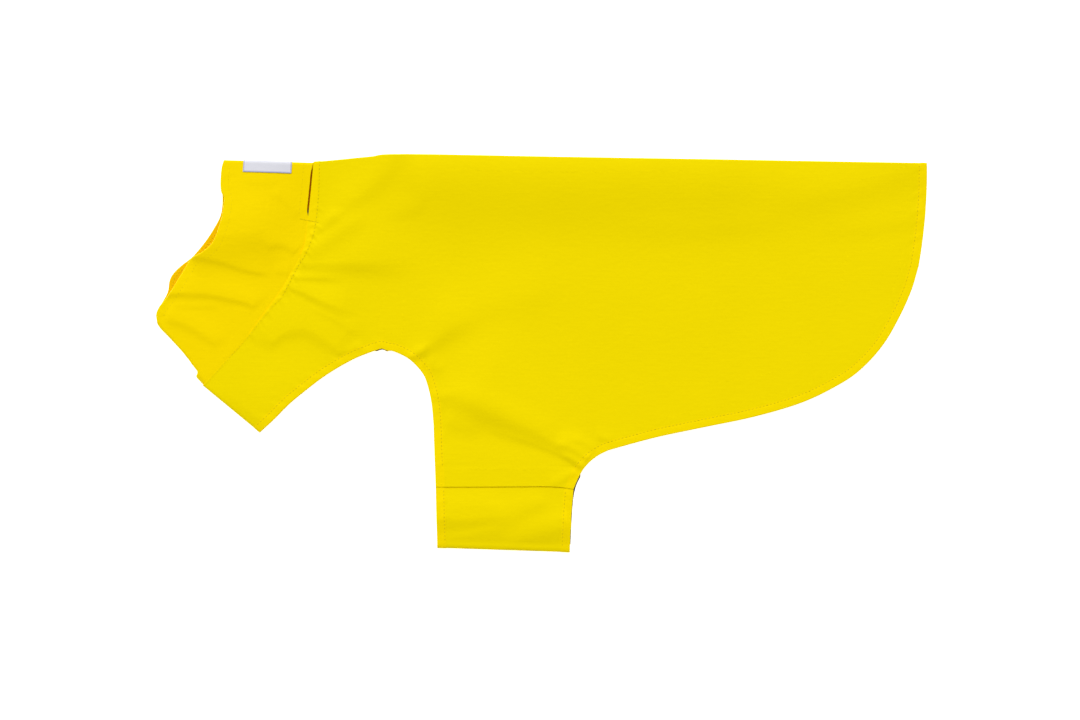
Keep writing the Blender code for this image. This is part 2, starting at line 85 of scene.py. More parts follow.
NECK_SEAM = drawn_through(
    (-72.0, 152.9), (-59.1, 138.6), (-48.0, 127.6), (-36.0, 111.5), (-23.0, 94.0), (-14.4, 80.0), (-8.0, 68.0),
    (-4.2, 57.5), (-2.6, 43.0), (-1.2, 30.0), (0.1, 17.0), (1.1, 5.2),
)
BACK_FOLD = drawn_through(
    NECK_SEAM[-1], (18.0, 3.6), (38.6, 1.6), (60.4, 0.0), (164.0, 1.8), (296.0, 4.0), (406.2, 5.9),
)
LEG_OPENING = drawn_through(
    (-34.4, 184.0), (-25.6, 175.9), (-14.7, 165.0), (-3.8, 156.0), (7.2, 147.6), (18.2, 140.6), (29.1, 134.8),
    (38.9, 130.9), (43.2, 129.5), (46.5, 128.6), (49.6, 129.9), (54.6, 130.6), (64.4, 135.6), (72.9, 144.5),
    (76.4, 152.8), (79.0, 164.5), (80.3, 178.2),
)
FLAP_ROOT = drawn_through(
    LEG_OPENING[-1], (108.0, 186.0), (140.0, 193.0), (170.0, 197.4), (195.7, 195.8),
)
HEM = drawn_through(
    FLAP_ROOT[-1], (212.0, 191.2), (231.2, 186.3), (260.0, 180.3), (292.0, 173.6), (324.0, 164.1), (349.5, 151.6),
    (364.0, 141.0), (377.5, 125.8), (388.0, 107.8), (396.0, 90.0), (400.8, 73.9),
)
NECK_STITCHES = drawn_through(
    (-68.6, 150.6), (-59.5, 140.4), (-50.0, 129.6), (-41.2, 120.0), (-33.4, 110.0), (-25.0, 100.0), (-20.0, 95.0),
    (-14.6, 85.0), (-9.4, 75.0), (-3.4, 65.0), (0.6, 55.0), (2.6, 46.0), (4.0, 34.0), (4.8, 20.0), (5.2, 6.4),
)
TAIL_BOW = 1.6
TAIL_BOW_FROM = 0.9
print("points round the body:", sum(len(edge) for edge in (NECK_SEAM, BACK_FOLD, LEG_OPENING, FLAP_ROOT, HEM)))


# %% The outline of the belly flap and the belly band
FLAP_HEAD_SIDE = drawn_through(
    FLAP_ROOT[0], (81.0, 199.0), (81.8, 220.0),
)
FLAP_TAIL_SIDE = drawn_through(
    HEM[0], (190.0, 198.6), (184.4, 202.6), (179.0, 208.6), (175.4, 215.4), (172.9, 221.4),
)
FLAP_HEM = drawn_through(
    FLAP_HEAD_SIDE[-1], (124.4, 219.8), (158.7, 219.7), FLAP_TAIL_SIDE[-1],
)
BAND_HEAD_SIDE = drawn_through(
    FLAP_HEM[0], (82.2, 240.0), (82.7, 260.2),
)
BAND_TAIL_SIDE = drawn_through(
    FLAP_HEM[-1], (172.2, 230.0), (171.4, 241.0), (170.5, 263.1),
)
print("width of the band at the flap's hem, mm:", round(FLAP_HEM[-1].along - FLAP_HEM[0].along, 1))


# %% The outline of the collar
NEAR_FREE_EDGE = drawn_through(
    (-58.1, 4.2), (-59.6, 10.0), (-60.2, 20.0), (-59.6, 25.4), (-57.9, 29.0), (-58.6, 38.0), (-61.2, 48.5),
    (-65.6, 58.8), (-73.0, 65.2), (-79.2, 68.6), (-83.8, 75.4), (-88.6, 83.4), (-94.8, 93.3), (-100.8, 101.0),
    (-102.8, 106.3), (-101.9, 112.1),
)
FAR_FREE_EDGE = drawn_through(
    (-58.1, 4.2), (-59.6, 10.0), (-60.2, 20.0), (-59.2, 29.0), (-60.4, 40.0), (-65.3, 49.7), (-71.2, 58.5),
    (-78.9, 67.6), (-86.2, 73.4), (-91.4, 78.4), (-94.2, 83.4), (-95.6, 91.5), (-100.8, 101.0), (-102.8, 106.3),
    (-101.9, 112.1),
)
THROAT_FOLD = drawn_through(
    (-71.0, 153.3), (-73.6, 150.4), (-76.3, 147.5), (-75.2, 146.2), (-74.2, 144.8), (-75.6, 142.8), (-77.6, 140.2),
    (-83.1, 132.5), (-92.9, 122.1), (-98.9, 116.2), (-101.9, 112.1),
)
print("reach of the collar at the nape, mm:", round(NECK_SEAM[-1].along - NEAR_FREE_EDGE[0].along, 1))


# %% [markdown]
# ## From points to curves
#
# A Catmull-Rom curve goes through every point of its table and keeps its bends even, so a few points are enough. To
# lay cloth between two curves we then need one more tool: places at given shares of a curve's length.
#
# Distances are measured to every fourth or sixth place of a curve, which is near enough and much faster. Both numbers
# divide the steps between two points, so a thinned curve keeps its last place.

# %% Curves
CURVE_STEPS = 24
EVERY_FOURTH = slice(None, None, 4)
EVERY_SIXTH = slice(None, None, 6)


def smooth_curve(points):
    """A Catmull-Rom curve through the points, as closely spaced places.

    Between two points the place is here + t/2 * ((after - before) + t * (bend + t * twist)), where bend and twist are
    weighted sums of the four points around the span."""
    rows = np.array(points, dtype=float)
    rows = np.vstack([2 * rows[0] - rows[1], rows, 2 * rows[-1] - rows[-2]])
    t = np.linspace(0.0, 1.0, CURVE_STEPS, endpoint=False)[:, None]
    spans = []
    for before, here, after, beyond in zip(rows, rows[1:], rows[2:], rows[3:]):
        bend = 2 * before - 5 * here + 4 * after - beyond
        twist = 3 * (here - after) + beyond - before
        spans.append(here + 0.5 * t * ((after - before) + t * (bend + t * twist)))
    return np.vstack(spans + [rows[-2:-1]])


def reaches(curve):
    """How far along a curve each of its places is: the running sum of the steps between its places."""
    return np.concatenate([[0.0], np.cumsum(np.linalg.norm(np.diff(curve, axis=0), axis=1))])


def curve_length(curve):
    """Length of a curve: how far along it its last place is."""
    return reaches(curve)[-1]


def along_curve(curve, shares):
    """Places at the given shares of a curve's length, between its two nearest places on a straight line."""
    lengths = reaches(curve)
    reach = np.asarray(shares) * lengths[-1]
    return np.stack([np.interp(reach, lengths, curve[:, axis]) for axis in range(2)], axis=-1)


print("length of the back, mm:", round(curve_length(smooth_curve(BACK_FOLD)), 1))


# %% [markdown]
# ## How far a place is from an edge
#
# Hems, stitches and creases all follow a line. So most of this coat's detail is a function of one number: how far a
# place is from that line. This helper gives it, with the side that the place is on and how far along the line it is.
# Blender can find a nearest point one at a time; numpy finds all of them at once.

# %% Distance from a line
def ease(t):
    """A ramp from 0 to 1 that starts and ends level: t^2 * (3 - 2 t), with t held between 0 and 1."""
    t = np.clip(t, 0.0, 1.0)
    return t * t * (3.0 - 2.0 * t)


def from_line(line, plan):
    """For each place of the plan: its distance from the line, its side of it, and how far along the nearest point is.

    On each straight piece from a to b the nearest point is a + t (b - a), with t = (p - a).(b - a) / |b - a|^2 held
    between 0 and 1. The piece with the least distance counts. The sign of its cross product with p - a is the side."""
    places = plan.reshape(-1, 2)
    runs = np.diff(line, axis=0)
    squares = np.einsum("si,si->s", runs, runs)
    offset_along = places[:, :1] - line[:-1, 0]
    offset_down = places[:, 1:] - line[:-1, 1]
    t = np.clip((offset_along * runs[:, 0] + offset_down * runs[:, 1]) / squares, 0.0, 1.0)
    gap = (offset_along - t * runs[:, 0]) ** 2 + (offset_down - t * runs[:, 1]) ** 2
    best = gap.argmin(axis=1)
    row = np.arange(len(places))
    side = np.sign(offset_along[row, best] * runs[best, 1] - offset_down[row, best] * runs[best, 0])
    reach = reaches(line)[best] + t[row, best] * np.sqrt(squares[best])
    shape = plan.shape[:-1]
    return np.sqrt(gap[row, best]).reshape(shape), side.reshape(shape), reach.reshape(shape)


hem_corner = np.array(HEM[0])
print("the flap's tail corner is below the back by, mm:", from_line(smooth_curve(BACK_FOLD), hem_corner)[0].round(1))


# %% [markdown]
# ## The folds the cloth keeps
#
# Flat cloth is never quite flat. A broad roll runs along the back, where the doubled cloth springs open. Two long
# folds start at the leg opening, because that is where a dog's elbow and a hanger pull. Short ones fan out from the
# collar seam, where a long edge was eased onto a shorter one.
#
# Each is a row in a table: the line of its crest, how high it rises, and how wide it is on its back side and on its
# belly side. Then come the shares of its length over which it fades in and out, and how narrow it is at its two ends
# where it is pinched there. A steep flank away from the light is what makes a crease read as a dark line.
#
# The folds could be sculpted, or left to a cloth simulation. A table is chosen instead, because each fold then stays
# where it is put, and one number makes it softer or sharper.

# %% The table of folds
CREASE_WORDS = "line rise back_flank belly_flank fade_in fade_out narrow_in narrow_out"
Crease = namedtuple("Crease", CREASE_WORDS, defaults=(1.0, 1.0))

ROLLS = (
    # The roll of the back, a faint shelf below it and its end at the tail; the roll of the nape; the loft of the side.
    Crease(((30, 9), (90, 10), (160, 12), (260, 12), (310, 16), (358, 18)), 4.3, 28, 33, 0.18, 0.30),
    Crease(((190, 46), (225, 48), (260, 48), (295, 46), (325, 42)), 0.25, 9, 7, 0.30, 0.30),
    Crease(((290, 28), (330, 25), (362, 18), (384, 11), (412, 2)), 1.6, 24, 15, 0.45, 0.15),
    Crease(((-90, 7), (20, 8)), 0.5, 20, 18, 0.02, 0.15),
    Crease(((60, 92), (360, 80)), 0.3, 30, 40, 0.35, 0.35),
)
SHOULDER_CREASES = (
    # The fan that opens from the highest point of the back.
    Crease(((-2, 55), (12, 46), (25, 32), (37, 15), (49, -3), (58, -17)), 0.9, 36, 14, 0.25, 0.02, 0.6, 0.9),
    Crease(((12, 42), (20, 35), (33, 25.5), (45, 14.5), (55, 0), (62, -14)), 0.8, 14, 8, 0.25, 0.05, 0.7, 0.9),
    Crease(((-4, 65), (4, 60.5), (20, 50), (32, 41.5), (40, 33)), 0.75, 7, 7, 0.12, 0.35, 0.8, 0.8),
    Crease(((46, 40), (59, 38), (70, 33), (73, 22), (67, 3), (60, -16)), 0.5, 14, 6, 0.25, 0.05, 0.6, 0.7),
    # Folds that run back from the collar seam, from the slit down to the chest.
    Crease(((3, 45.5), (9, 43), (19, 38)), 0.25, 6, 3, 0.05, 0.50, 0.4),
    Crease(((-1, 54), (6, 49), (14, 42.5), (22.5, 35)), 0.65, 5, 3.4, 0.05, 0.35, 0.5, 0.9),
    Crease(((-8, 72), (10, 71.5), (30, 70.5), (50, 69.5), (76, 66)), 2.25, 38, 9.6, 0.02, 0.60, 0.4),
    Crease(((-12, 81.5), (0, 81.3), (28, 81)), 0.95, 9.5, 3.4, 0.05, 0.60, 0.4),
    Crease(((-18, 87.6), (-8, 90.1), (0, 93.5), (8, 97), (18, 100.5), (36, 105.5)), 1.35, 20, 4.6, 0.03, 0.50, 0.3),
    Crease(((-4, 100), (16, 109), (38, 122)), 0.35, 8, 3.6, 0.20, 0.25, 0.4),
    # The hooked fold of the chest, the swell of the chest strap, and a short fold above the leg opening.
    Crease(
        ((-31, 131), (-26, 123), (-18, 117), (-6, 114.5), (5, 118.5), (14, 125.5), (22, 132.5)),
        1.5, 34, 8.5, 0.16, 0.15, 0.4, 0.5,
    ),
    Crease(((-46, 176), (-32, 167), (-18, 157), (-4, 147), (10, 139)), 0.8, 26, 24, 0.30, 0.40, 0.8, 0.8),
    Crease(((15, 132), (26, 129), (37, 125.5)), 0.4, 5, 2.6, 0.15, 0.30, 0.6),
)
SIDE_CREASES = (
    # The long fold from the leg opening up over the ribs, and its fainter end.
    Crease(((62, 136), (70, 131.5), (77, 127), (86, 119), (96, 112), (114, 106)), 1.5, 20, 8, 0.03, 0.45, 0.2),
    Crease(((78, 119), (100, 105), (140, 93), (200, 76)), 0.8, 24, 14, 0.30, 0.60, 0.6),
    # The fold from the leg opening down to the corner where the flap leaves the hem, and the ridges on its flank.
    Crease(
        ((76, 152), (100, 160.5), (120, 169.5), (140, 178), (158, 187.5), (180, 208)),
        2.9, 58, 12.5, 0.28, 0.03, 0.75, 0.15,
    ),
    Crease(((84, 152), (108, 161), (130, 170), (152, 180), (172, 190)), 0.55, 8, 10, 0.20, 0.25, 0.8, 0.8),
    Crease(
        ((112, 178), (128, 184), (146, 190), (160, 196), (170, 201), (181, 208.5)),
        0.6, 11, 3.6, 0.40, 0.03, 1.0, 0.35,
    ),
    Crease(((160, 189), (171, 193.6), (183, 201.5)), 1.0, 9, 3.2, 0.30, 0.05, 1.0, 0.4),
    Crease(((164, 197.5), (172, 202), (180.5, 208.5)), 0.35, 3.5, 1.4, 0.25, 0.02, 1.0, 0.6),
    Crease(((86, 175), (98, 178), (114, 184)), 0.5, 8, 6, 0.20, 0.40),
    # Short ones that the stitching draws in at the leg opening and at the corner of the flap.
    Crease(((63, 134), (70, 133.2), (78, 129.5)), 0.55, 3.6, 2.0, 0.15, 0.40, 0.7),
    Crease(((66, 130.8), (72, 130), (80, 125)), 0.45, 3.4, 2.0, 0.15, 0.40, 0.7),
    Crease(((72, 138.5), (78, 137.5), (86, 133)), 0.45, 3.8, 2.4, 0.15, 0.50, 0.7),
    Crease(((75, 143), (81, 141.8), (90, 140)), 0.45, 3.8, 2.4, 0.15, 0.50, 0.7),
    Crease(((79, 160), (86, 160.5), (96, 158.5)), 0.45, 4.2, 2.6, 0.15, 0.50, 0.7),
    Crease(((170, 187), (179, 190), (188, 195.5)), 0.35, 4.2, 2.4, 0.25, 0.10, 1.0, 0.6),
    Crease(((186, 186), (194, 187.5), (202, 191)), 0.30, 4.2, 2.4, 0.25, 0.10, 1.0, 0.6),
    Crease(((156, 219), (165, 215), (174, 210)), 0.45, 4.4, 2.4, 0.25, 0.05, 1.0, 0.6),
    # A fold of the tail, where the roll of the back runs out.
    Crease(((320, 50), (362, 47), (406, 40)), 0.4, 14, 7, 0.40, 0.02),
)
BODY_CREASES = SHOULDER_CREASES + SIDE_CREASES
COLLAR_CREASES = (
    # The swell below the nape, the sharp edge where it ends, and the hook beside the seam.
    Crease(((-84, 56), (-56, 52), (-36, 51), (-8, 56)), 3.3, 34, 17.5, 0.10, 0.45),
    Crease(
        ((-80, 66.5), (-70, 68), (-58, 71), (-46, 75), (-34, 78), (-25, 78.3)),
        0.75, 12, 3.0, 0.05, 0.2, 0.8, 0.6,
    ),
    Crease(((-31, 63), (-25, 60), (-17, 60.3), (-10.5, 66)), 0.5, 8, 2.8, 0.20, 0.10, 0.7, 0.7),
    Crease(((-25, 77.3), (-14, 78)), 0.25, 5, 2, 0.20, 0.20),
    # The folds across the throat.
    Crease(
        ((-97, 91.8), (-80, 91.3), (-66, 92.3), (-52, 95.3), (-42, 98), (-36, 103)),
        1.1, 14, 3.7, 0.03, 0.08, 0.8, 0.5,
    ),
    Crease(((-92, 99.8), (-76, 100.5), (-60, 100.5)), 0.20, 5, 1.7, 0.10, 0.20),
    Crease(
        ((-98, 107.5), (-86, 110.5), (-76, 115.5), (-66, 122.5), (-59, 128.5)),
        0.8, 11, 4.4, 0.10, 0.20, 0.8, 0.6,
    ),
    # Faint ones under the label.
    Crease(((-46, 16), (-32, 17), (-18, 16)), 0.20, 8, 4, 0.20, 0.20),
    Crease(((-27, 23), (-16, 31.5), (-8, 43)), 0.30, 8, 3, 0.20, 0.20),
)
BAND_CREASES = (
    # The swell below the flap's hem, its lower edge, and the folds that run up to the band's tail side.
    Crease(((78, 240), (100, 240.5), (118, 239), (132, 235.5)), 0.9, 26, 5.5, 0.02, 0.35),
    Crease(((78, 256), (92, 254.3), (106, 251.6), (121, 248.0), (136, 246.0)), 0.36, 3.2, 10, 0.02, 0.30),
    Crease(((116, 243.5), (128, 239), (140, 233.5), (158, 225)), 0.8, 14, 7, 0.25, 0.20, 1.0, 0.8),
    Crease(((122, 261), (136, 254.5), (152, 249), (172, 243.5)), 0.9, 11, 7, 0.20, 0.05, 0.7),
    Crease(((156, 220), (165, 223), (172, 227)), 0.3, 5, 2.4, 0.25, 0.05, 1.0, 0.7),
)

print("folds in all:", len(ROLLS + BODY_CREASES + COLLAR_CREASES + BAND_CREASES))


# %% The height of a fold
NARROW_OVER = 0.7


def crease_height(crease, plan):
    """Height of one crease: size * rise * fade * exp(-(distance / (size * flank))^2).

    The distance is taken from the crest's line, and the flank is the one on the place's side. The fade lifts the crease
    from nothing at its start and drops it to nothing at its end. The size shrinks towards a pinched end, so that the
    crease narrows as a cone does and keeps its slopes."""
    crest = smooth_curve(crease.line)[EVERY_FOURTH]
    distance, side, reach = from_line(crest, plan)
    t = reach / curve_length(crest)
    flank = np.where(side > 0, crease.back_flank, crease.belly_flank)
    size = crease.narrow_in + (1 - crease.narrow_in) * np.clip(t / NARROW_OVER, 0, 1)
    size *= crease.narrow_out + (1 - crease.narrow_out) * np.clip((1 - t) / NARROW_OVER, 0, 1)
    fade = ease(t / crease.fade_in) * ease((1 - t) / crease.fade_out)
    return size * crease.rise * fade * np.exp(-((distance / (size * flank)) ** 2))


def relief(creases, plan):
    """Height of all the creases together."""
    return sum(crease_height(crease, plan) for crease in creases)


roll_of_back = ROLLS[0]
print("the roll of the back rises by, mm:", crease_height(roll_of_back, smooth_curve(roll_of_back.line)).max().round(2))


# %% [markdown]
# ## How thick everything is
#
# The solid model keeps every layer at least a millimetre thick, so that it can be made. The real rain cloth is about
# half that, and a hem is two plies of it. So the layers keep the heights of the solid model, measured at the middle
# of each layer, while the walls here are as thin as cloth. Every height is a function of the place on the plan, so
# that cloth, stitches and label that share a place also share its height, and nothing sinks into its neighbour.

# %% Walls and heights, in millimetres
PLY = 0.55
HEM_WALL = 1.0
SEAM_WALL = 1.05
COLLAR_WALL = 1.25
LINING_PLY = 0.45
LABEL_PLY = 0.5

FAR_SHELL = 0.5
FAR_LINING = 1.8
NEAR_LINING = 3.1
NEAR_SHELL = 4.4
COLLAR_NEAR = 4.2
COLLAR_FAR = 0.7
FLAP_LIFT = 0.62

BACK_ROLL = 0.7
NAPE_ROLL = 0.7
THROAT_ROLL = 4.0
BAND_ROLL = 5.0
BAND_DROOP = 2.5
BAND_LINING_DROOP = 1.6
FAR_BAND_LINING = 1.3
BAND_DROOP_RUN = 22.0
BAND_CALM = 18.0
BAND_CALM_ABOVE = 4.0
CHEST_ROLL = (7.0, 0.8)
CHEST_DROP = (0.9, 1.1)
BAND_TUCK = 16.0
FLAP_RISE = (24.0, -3.0)
FLAP_FADE = (17.0, 3.0)
LABEL_CLEARANCE = 1.35
LABEL_ZONE = (13.0, 27.0)


def over_band(plan):
    """Share of the near flap's lift: none above the belly band's tucked end, all of it over the band.

    It is one ramp down the flap times another that ends short of the flap's tail side."""
    above_band = FLAP_HEM[0].down - BAND_TUCK - plan[..., 1]
    before_side = FLAP_TAIL_SIDE[0].along - plan[..., 0]
    onto_band = ease((FLAP_RISE[0] - above_band) / (FLAP_RISE[0] - FLAP_RISE[1]))
    short_of_side = ease((before_side - FLAP_FADE[1]) / (FLAP_FADE[0] - FLAP_FADE[1]))
    return onto_band * short_of_side


def chest_drop(plan):
    """How far the near half rolls down to meet the far half at the chest seam: a broad drop and a tight one, each
    drop * (1 - ease(distance inside the seam / roll)). The broad one grows down the seam."""
    chest_seam = np.array([NECK_SEAM[0], LEG_OPENING[0]])
    run = chest_seam[1] - chest_seam[0]
    offset = plan - chest_seam[0]
    inside = (offset[..., 0] * run[1] - offset[..., 1] * run[0]) / np.hypot(*run)
    down_seam = (offset[..., 0] * run[0] + offset[..., 1] * run[1]) / (run @ run)
    broad, tight = (drop * (1 - ease(inside / roll)) for drop, roll in zip(CHEST_DROP, CHEST_ROLL))
    return broad * ease(down_seam) + tight


def body_height(plan):
    """Height of the middle of the near half of the body: its layer, its folds and the flap's lift, less the drop at
    the chest."""
    folds = relief(ROLLS + BODY_CREASES, plan)
    return NEAR_SHELL + folds + FLAP_LIFT * over_band(plan) - chest_drop(plan)


def collar_height(plan):
    """Height of the middle of the collar's near half: its layer and its folds."""
    return COLLAR_NEAR + relief(ROLLS + COLLAR_CREASES, plan)


def collar_far_height(plan):
    """Height of the middle of the collar's far half: its layer, raised by a ramp to clear the label at the nape."""
    start, end = LABEL_ZONE
    return COLLAR_FAR + LABEL_CLEARANCE * (1 - ease((plan[..., 1] - start) / (end - start)))


def droop(plan):
    """How far the near half of the belly band sinks towards its fold under the belly, as a share of the whole droop:
    (1 - d / run)^2 at the distance d above the fold."""
    fold_down = np.interp(plan[..., 0], *zip(BAND_HEAD_SIDE[-1], BAND_TAIL_SIDE[-1]))
    return np.clip(1 - (fold_down - plan[..., 1]) / BAND_DROOP_RUN, 0, 1) ** 2


def band_height(plan):
    """Height of the middle of the belly band's near half: its layer and its folds, less the droop. A ramp calms the
    folds towards the flap's hem, where the band has to slip under the flap."""
    below_calm = plan[..., 1] - FLAP_HEM[0].down + BAND_CALM_ABOVE
    return NEAR_SHELL + relief(BAND_CREASES, plan) * ease(below_calm / BAND_CALM) - BAND_DROOP * droop(plan)


def band_lining_height(plan):
    """Height of the middle of the near half of the band's lining: its layer, less its own droop under the band."""
    return NEAR_LINING - BAND_LINING_DROOP * droop(plan)


def lining_height(plan):
    """Height of the middle of the near lining: its layer and half of the broad rolls."""
    return NEAR_LINING + relief(ROLLS, plan) / 2


print("height of the near layer at the flap's tail corner, mm:", body_height(hem_corner).round(2))


# %% [markdown]
# ## Laying cloth between two edges
#
# A panel is a ruled surface: each column runs straight from the top edge to the bottom edge, and the rows are shares
# of the way. The rows crowd together near an edge, because a hem needs many points across its few millimetres and the
# middle of the panel needs few. The same panel could be a plane, cut and divided with the knife, but its points would
# not run along the hems, and a hem would come out jagged.

# %% Grids of cloth
HEM_STEPS = (0.0, 0.1, 0.3, 0.65, 1.2, 2.0, 3.0, 4.0, 4.7, 5.3, 5.9, 6.6, 7.3, 8.0, 8.8, 10.2, 12.0, 14.0, 16.2)
SEAM_STEPS = (0.0, 0.1, 0.3, 0.65, 1.2, 2.0, 2.8, 3.4, 4.0, 4.6, 5.4, 6.6, 8.0)
COARSE_STEPS = (0.0, 0.3, 0.7, 1.2, 3.0, 5.3, 7.3, 8.5)


def spread(lengths, middle, from_start=(0.0,), from_end=(0.0,)):
    """Shares down lines of the given lengths: fixed distances from their starts, even steps, fixed distances from
    their ends. One row for each step, one column for each line."""
    lengths = np.atleast_1d(lengths)
    start = np.array(from_start)[:, None] / lengths
    end = 1.0 - np.array(from_end)[::-1, None] / lengths
    steps = np.linspace(0.0, 1.0, middle + 2)[1:-1, None]
    return np.concatenate([start, start[-1] + steps * (end[0] - start[-1]), end])


def ruled(first, last, shares):
    """Rows that run straight from the first curve to the last: first * (1 - share) + last * share."""
    shares = np.asarray(shares)
    shares = shares[:, None, None] if shares.ndim == 1 else shares[..., None]
    return first * (1 - shares) + last * shares


def toward(start, end):
    """Unit directions from the start places to the end places: (end - start) / |end - start|."""
    run = end - start
    return run / np.linalg.norm(run, axis=-1, keepdims=True)


def at_height(plan, height):
    """Places in space from places on the laid coat: the height is the third number."""
    height = np.broadcast_to(height, plan.shape[:-1])
    return np.concatenate([plan, height[..., None]], axis=-1)


print("steps from an edge across its hem, mm:", HEM_STEPS)


# %% A fold between two layers
FOLD_STEPS = 12
FOLD_SQUARE = 0.8


def round_fold(far, near, fold):
    """Rows round a fold: half a squared ellipse from the far layer's edge, through the fold line, to the near layer's.

    At the angle a, from -90 to 90 degrees, the place is near + cos(a)^q * (fold - near) in plan, and its height is the
    middle of the two layers plus sin(a)^q, with its sign, times half the way between them. Thin cloth turns tightly, so
    q is a little under 1."""
    angles = np.linspace(-np.pi / 2, np.pi / 2, FOLD_STEPS + 1)[:, None, None]
    out = np.abs(np.cos(angles)) ** FOLD_SQUARE
    up = np.sign(angles) * np.abs(np.sin(angles)) ** FOLD_SQUARE
    plan = near[..., :2] + out * (fold - near[..., :2])
    middle = (far[..., 2:] + near[..., 2:]) / 2
    reach = (near[..., 2:] - far[..., 2:]) / 2
    return np.concatenate([plan, middle + reach * up], axis=-1)


print("rows round a fold:", FOLD_STEPS + 1)


# %% [markdown]
# ## From grids to a piece of cloth
#
# Each patch is an array of rows and columns. It carries what we know about the cloth at each point: its place, its
# place on the cut for the weave, how thick it is there, and how far it is doubled. Patches that share an edge are
# welded, and the surface is then given its wall: every point is copied half a wall outwards and half a wall inwards
# along its normal, and a rim closes the border. Where the wall shrinks to nothing at an edge, the edge comes out
# round, as a folded hem is. The Solidify modifier gives a wall too, but here the wall has a thickness of its own at
# every point.

# %% Patches and welding
PLACE = slice(0, 3)
CUT = slice(3, 5)
WALL = 5
DOUBLED = 6
MIRRORED = (1.0, -1.0)
WELD = 0.01


def patch(places, wall, doubled=0.0, far=False):
    """A patch of cloth: places, place on the cut, wall and doubling. The far half's cut is mirrored over the back."""
    shape = places.shape[:-1]
    cut = places[..., :2] * (MIRRORED if far else 1.0)
    extra = [np.broadcast_to(value, shape)[..., None] for value in (wall, doubled)]
    return np.concatenate([places, cut] + extra, axis=-1)


def weld(patches):
    """One surface from patches, as its points and its quads. Points that round to the same hundredth of a millimetre
    are one, and a quad that loses a corner by it is left out."""
    sizes = [part.shape[0] * part.shape[1] for part in patches]
    starts = np.cumsum([0] + sizes[:-1])
    points = np.concatenate([part.reshape(-1, part.shape[-1]) for part in patches])
    quads = []
    for part, start in zip(patches, starts):
        index = np.arange(part.shape[0] * part.shape[1]).reshape(part.shape[:2]) + start
        corners = (index[:-1, :-1], index[1:, :-1], index[1:, 1:], index[:-1, 1:])
        quads.append(np.stack(corners, axis=-1).reshape(-1, 4))
    keys = np.round(points[:, PLACE] / WELD).astype(np.int64)
    _, first, where = np.unique(keys, axis=0, return_index=True, return_inverse=True)
    quads = where.reshape(-1)[np.concatenate(quads)]
    whole = (np.diff(np.sort(quads, axis=1), axis=1) > 0).all(axis=1)
    return points[first], quads[whole]


# %% From the cutting table to the frame, and walls
MM = 0.001
MIDDLE_ALONG = 151.7
MIDDLE_DOWN = 131.55
TINY = 1e-12


def to_frame(points):
    """Metres about the origin, +X to the tail and +Y to the back, from millimetres on the laid coat. All that a point
    carries besides its place is scaled with it."""
    places = (points[..., PLACE] - (MIDDLE_ALONG, MIDDLE_DOWN, 0.0)) * (MM, -MM, MM)
    return np.concatenate([places, points[..., 3:] * MM], axis=-1)


def normals_of(places, quads):
    """Unit normals at the points: the sum of the normals of the quads around each, each as long as its area."""
    across = places[quads[:, 2]] - places[quads[:, 0]]
    other = places[quads[:, 3]] - places[quads[:, 1]]
    face_normals = np.cross(across, other)
    sums = [np.bincount(quads.ravel(), np.repeat(face_normals[:, axis], 4), len(places)) for axis in range(3)]
    normals = np.stack(sums, axis=-1)
    return normals / np.maximum(np.linalg.norm(normals, axis=-1, keepdims=True), TINY)


def give_wall(points, quads):
    """A closed wall round a surface: outer and inner points half a wall off along the normals, and a rim between."""
    places = points[:, PLACE]
    step = normals_of(places, quads) * points[:, WALL:WALL + 1] / 2
    count = len(places)
    sides = np.stack([quads, np.roll(quads, -1, axis=1)], axis=-1).reshape(-1, 2)
    _, first, uses = np.unique(np.sort(sides, axis=1), axis=0, return_index=True, return_counts=True)
    border = sides[first[uses == 1]]
    rim = np.stack([border[:, 1], border[:, 0], border[:, 0] + count, border[:, 1] + count], axis=-1)
    faces = np.concatenate([quads, quads[:, ::-1] + count, rim])
    return np.concatenate([places + step, places - step]), faces


print("the frame's origin on the laid coat, mm:", (MIDDLE_ALONG, MIDDLE_DOWN))


# %% An object for each piece


def new_object(name, data):
    """An object with the given data, linked into the scene."""
    thing = bpy.data.objects.new(name, data)
    bpy.context.scene.collection.objects.link(thing)
    return thing


def add_piece(name, places, faces, material, replaced=(), uv=None, attributes=()):
    """A piece of the coat from whole arrays, riding on the coat, with its cut as a UV map."""
    mesh = bpy.data.meshes.new(name)
    mesh.from_pydata(places.tolist(), [], faces.tolist())
    mesh.materials.append(material)
    mesh.shade_smooth()
    corners = np.empty(len(mesh.loops), dtype=np.int32)
    mesh.loops.foreach_get("vertex_index", corners)
    if uv is not None:
        mesh.uv_layers.new(name="cut").data.foreach_set("uv", uv[corners].ravel())
    for label, values in dict(attributes).items():
        mesh.attributes.new(label, "FLOAT", "POINT").data.foreach_set("value", values)
    piece = new_object(name, mesh)
    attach(piece, "root")
    if replaced:
        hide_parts(*replaced)
    print(f"{name}: {len(places)} points, {len(faces)} faces")
    return piece


def cloth(name, patches, material, replaced=()):
    """A piece of cloth from patches in millimetres on the laid coat."""
    points, quads = weld(patches)
    points = to_frame(points)
    places, faces = give_wall(points, quads)
    inner_side = np.repeat((0.0, 1.0), len(points))
    attributes = {"doubled": np.tile(points[:, DOUBLED] / MM, 2), "inner_side": inner_side}
    uv = np.tile(points[:, CUT], (2, 1))
    return add_piece(name, places, faces, material, replaced, uv, attributes)


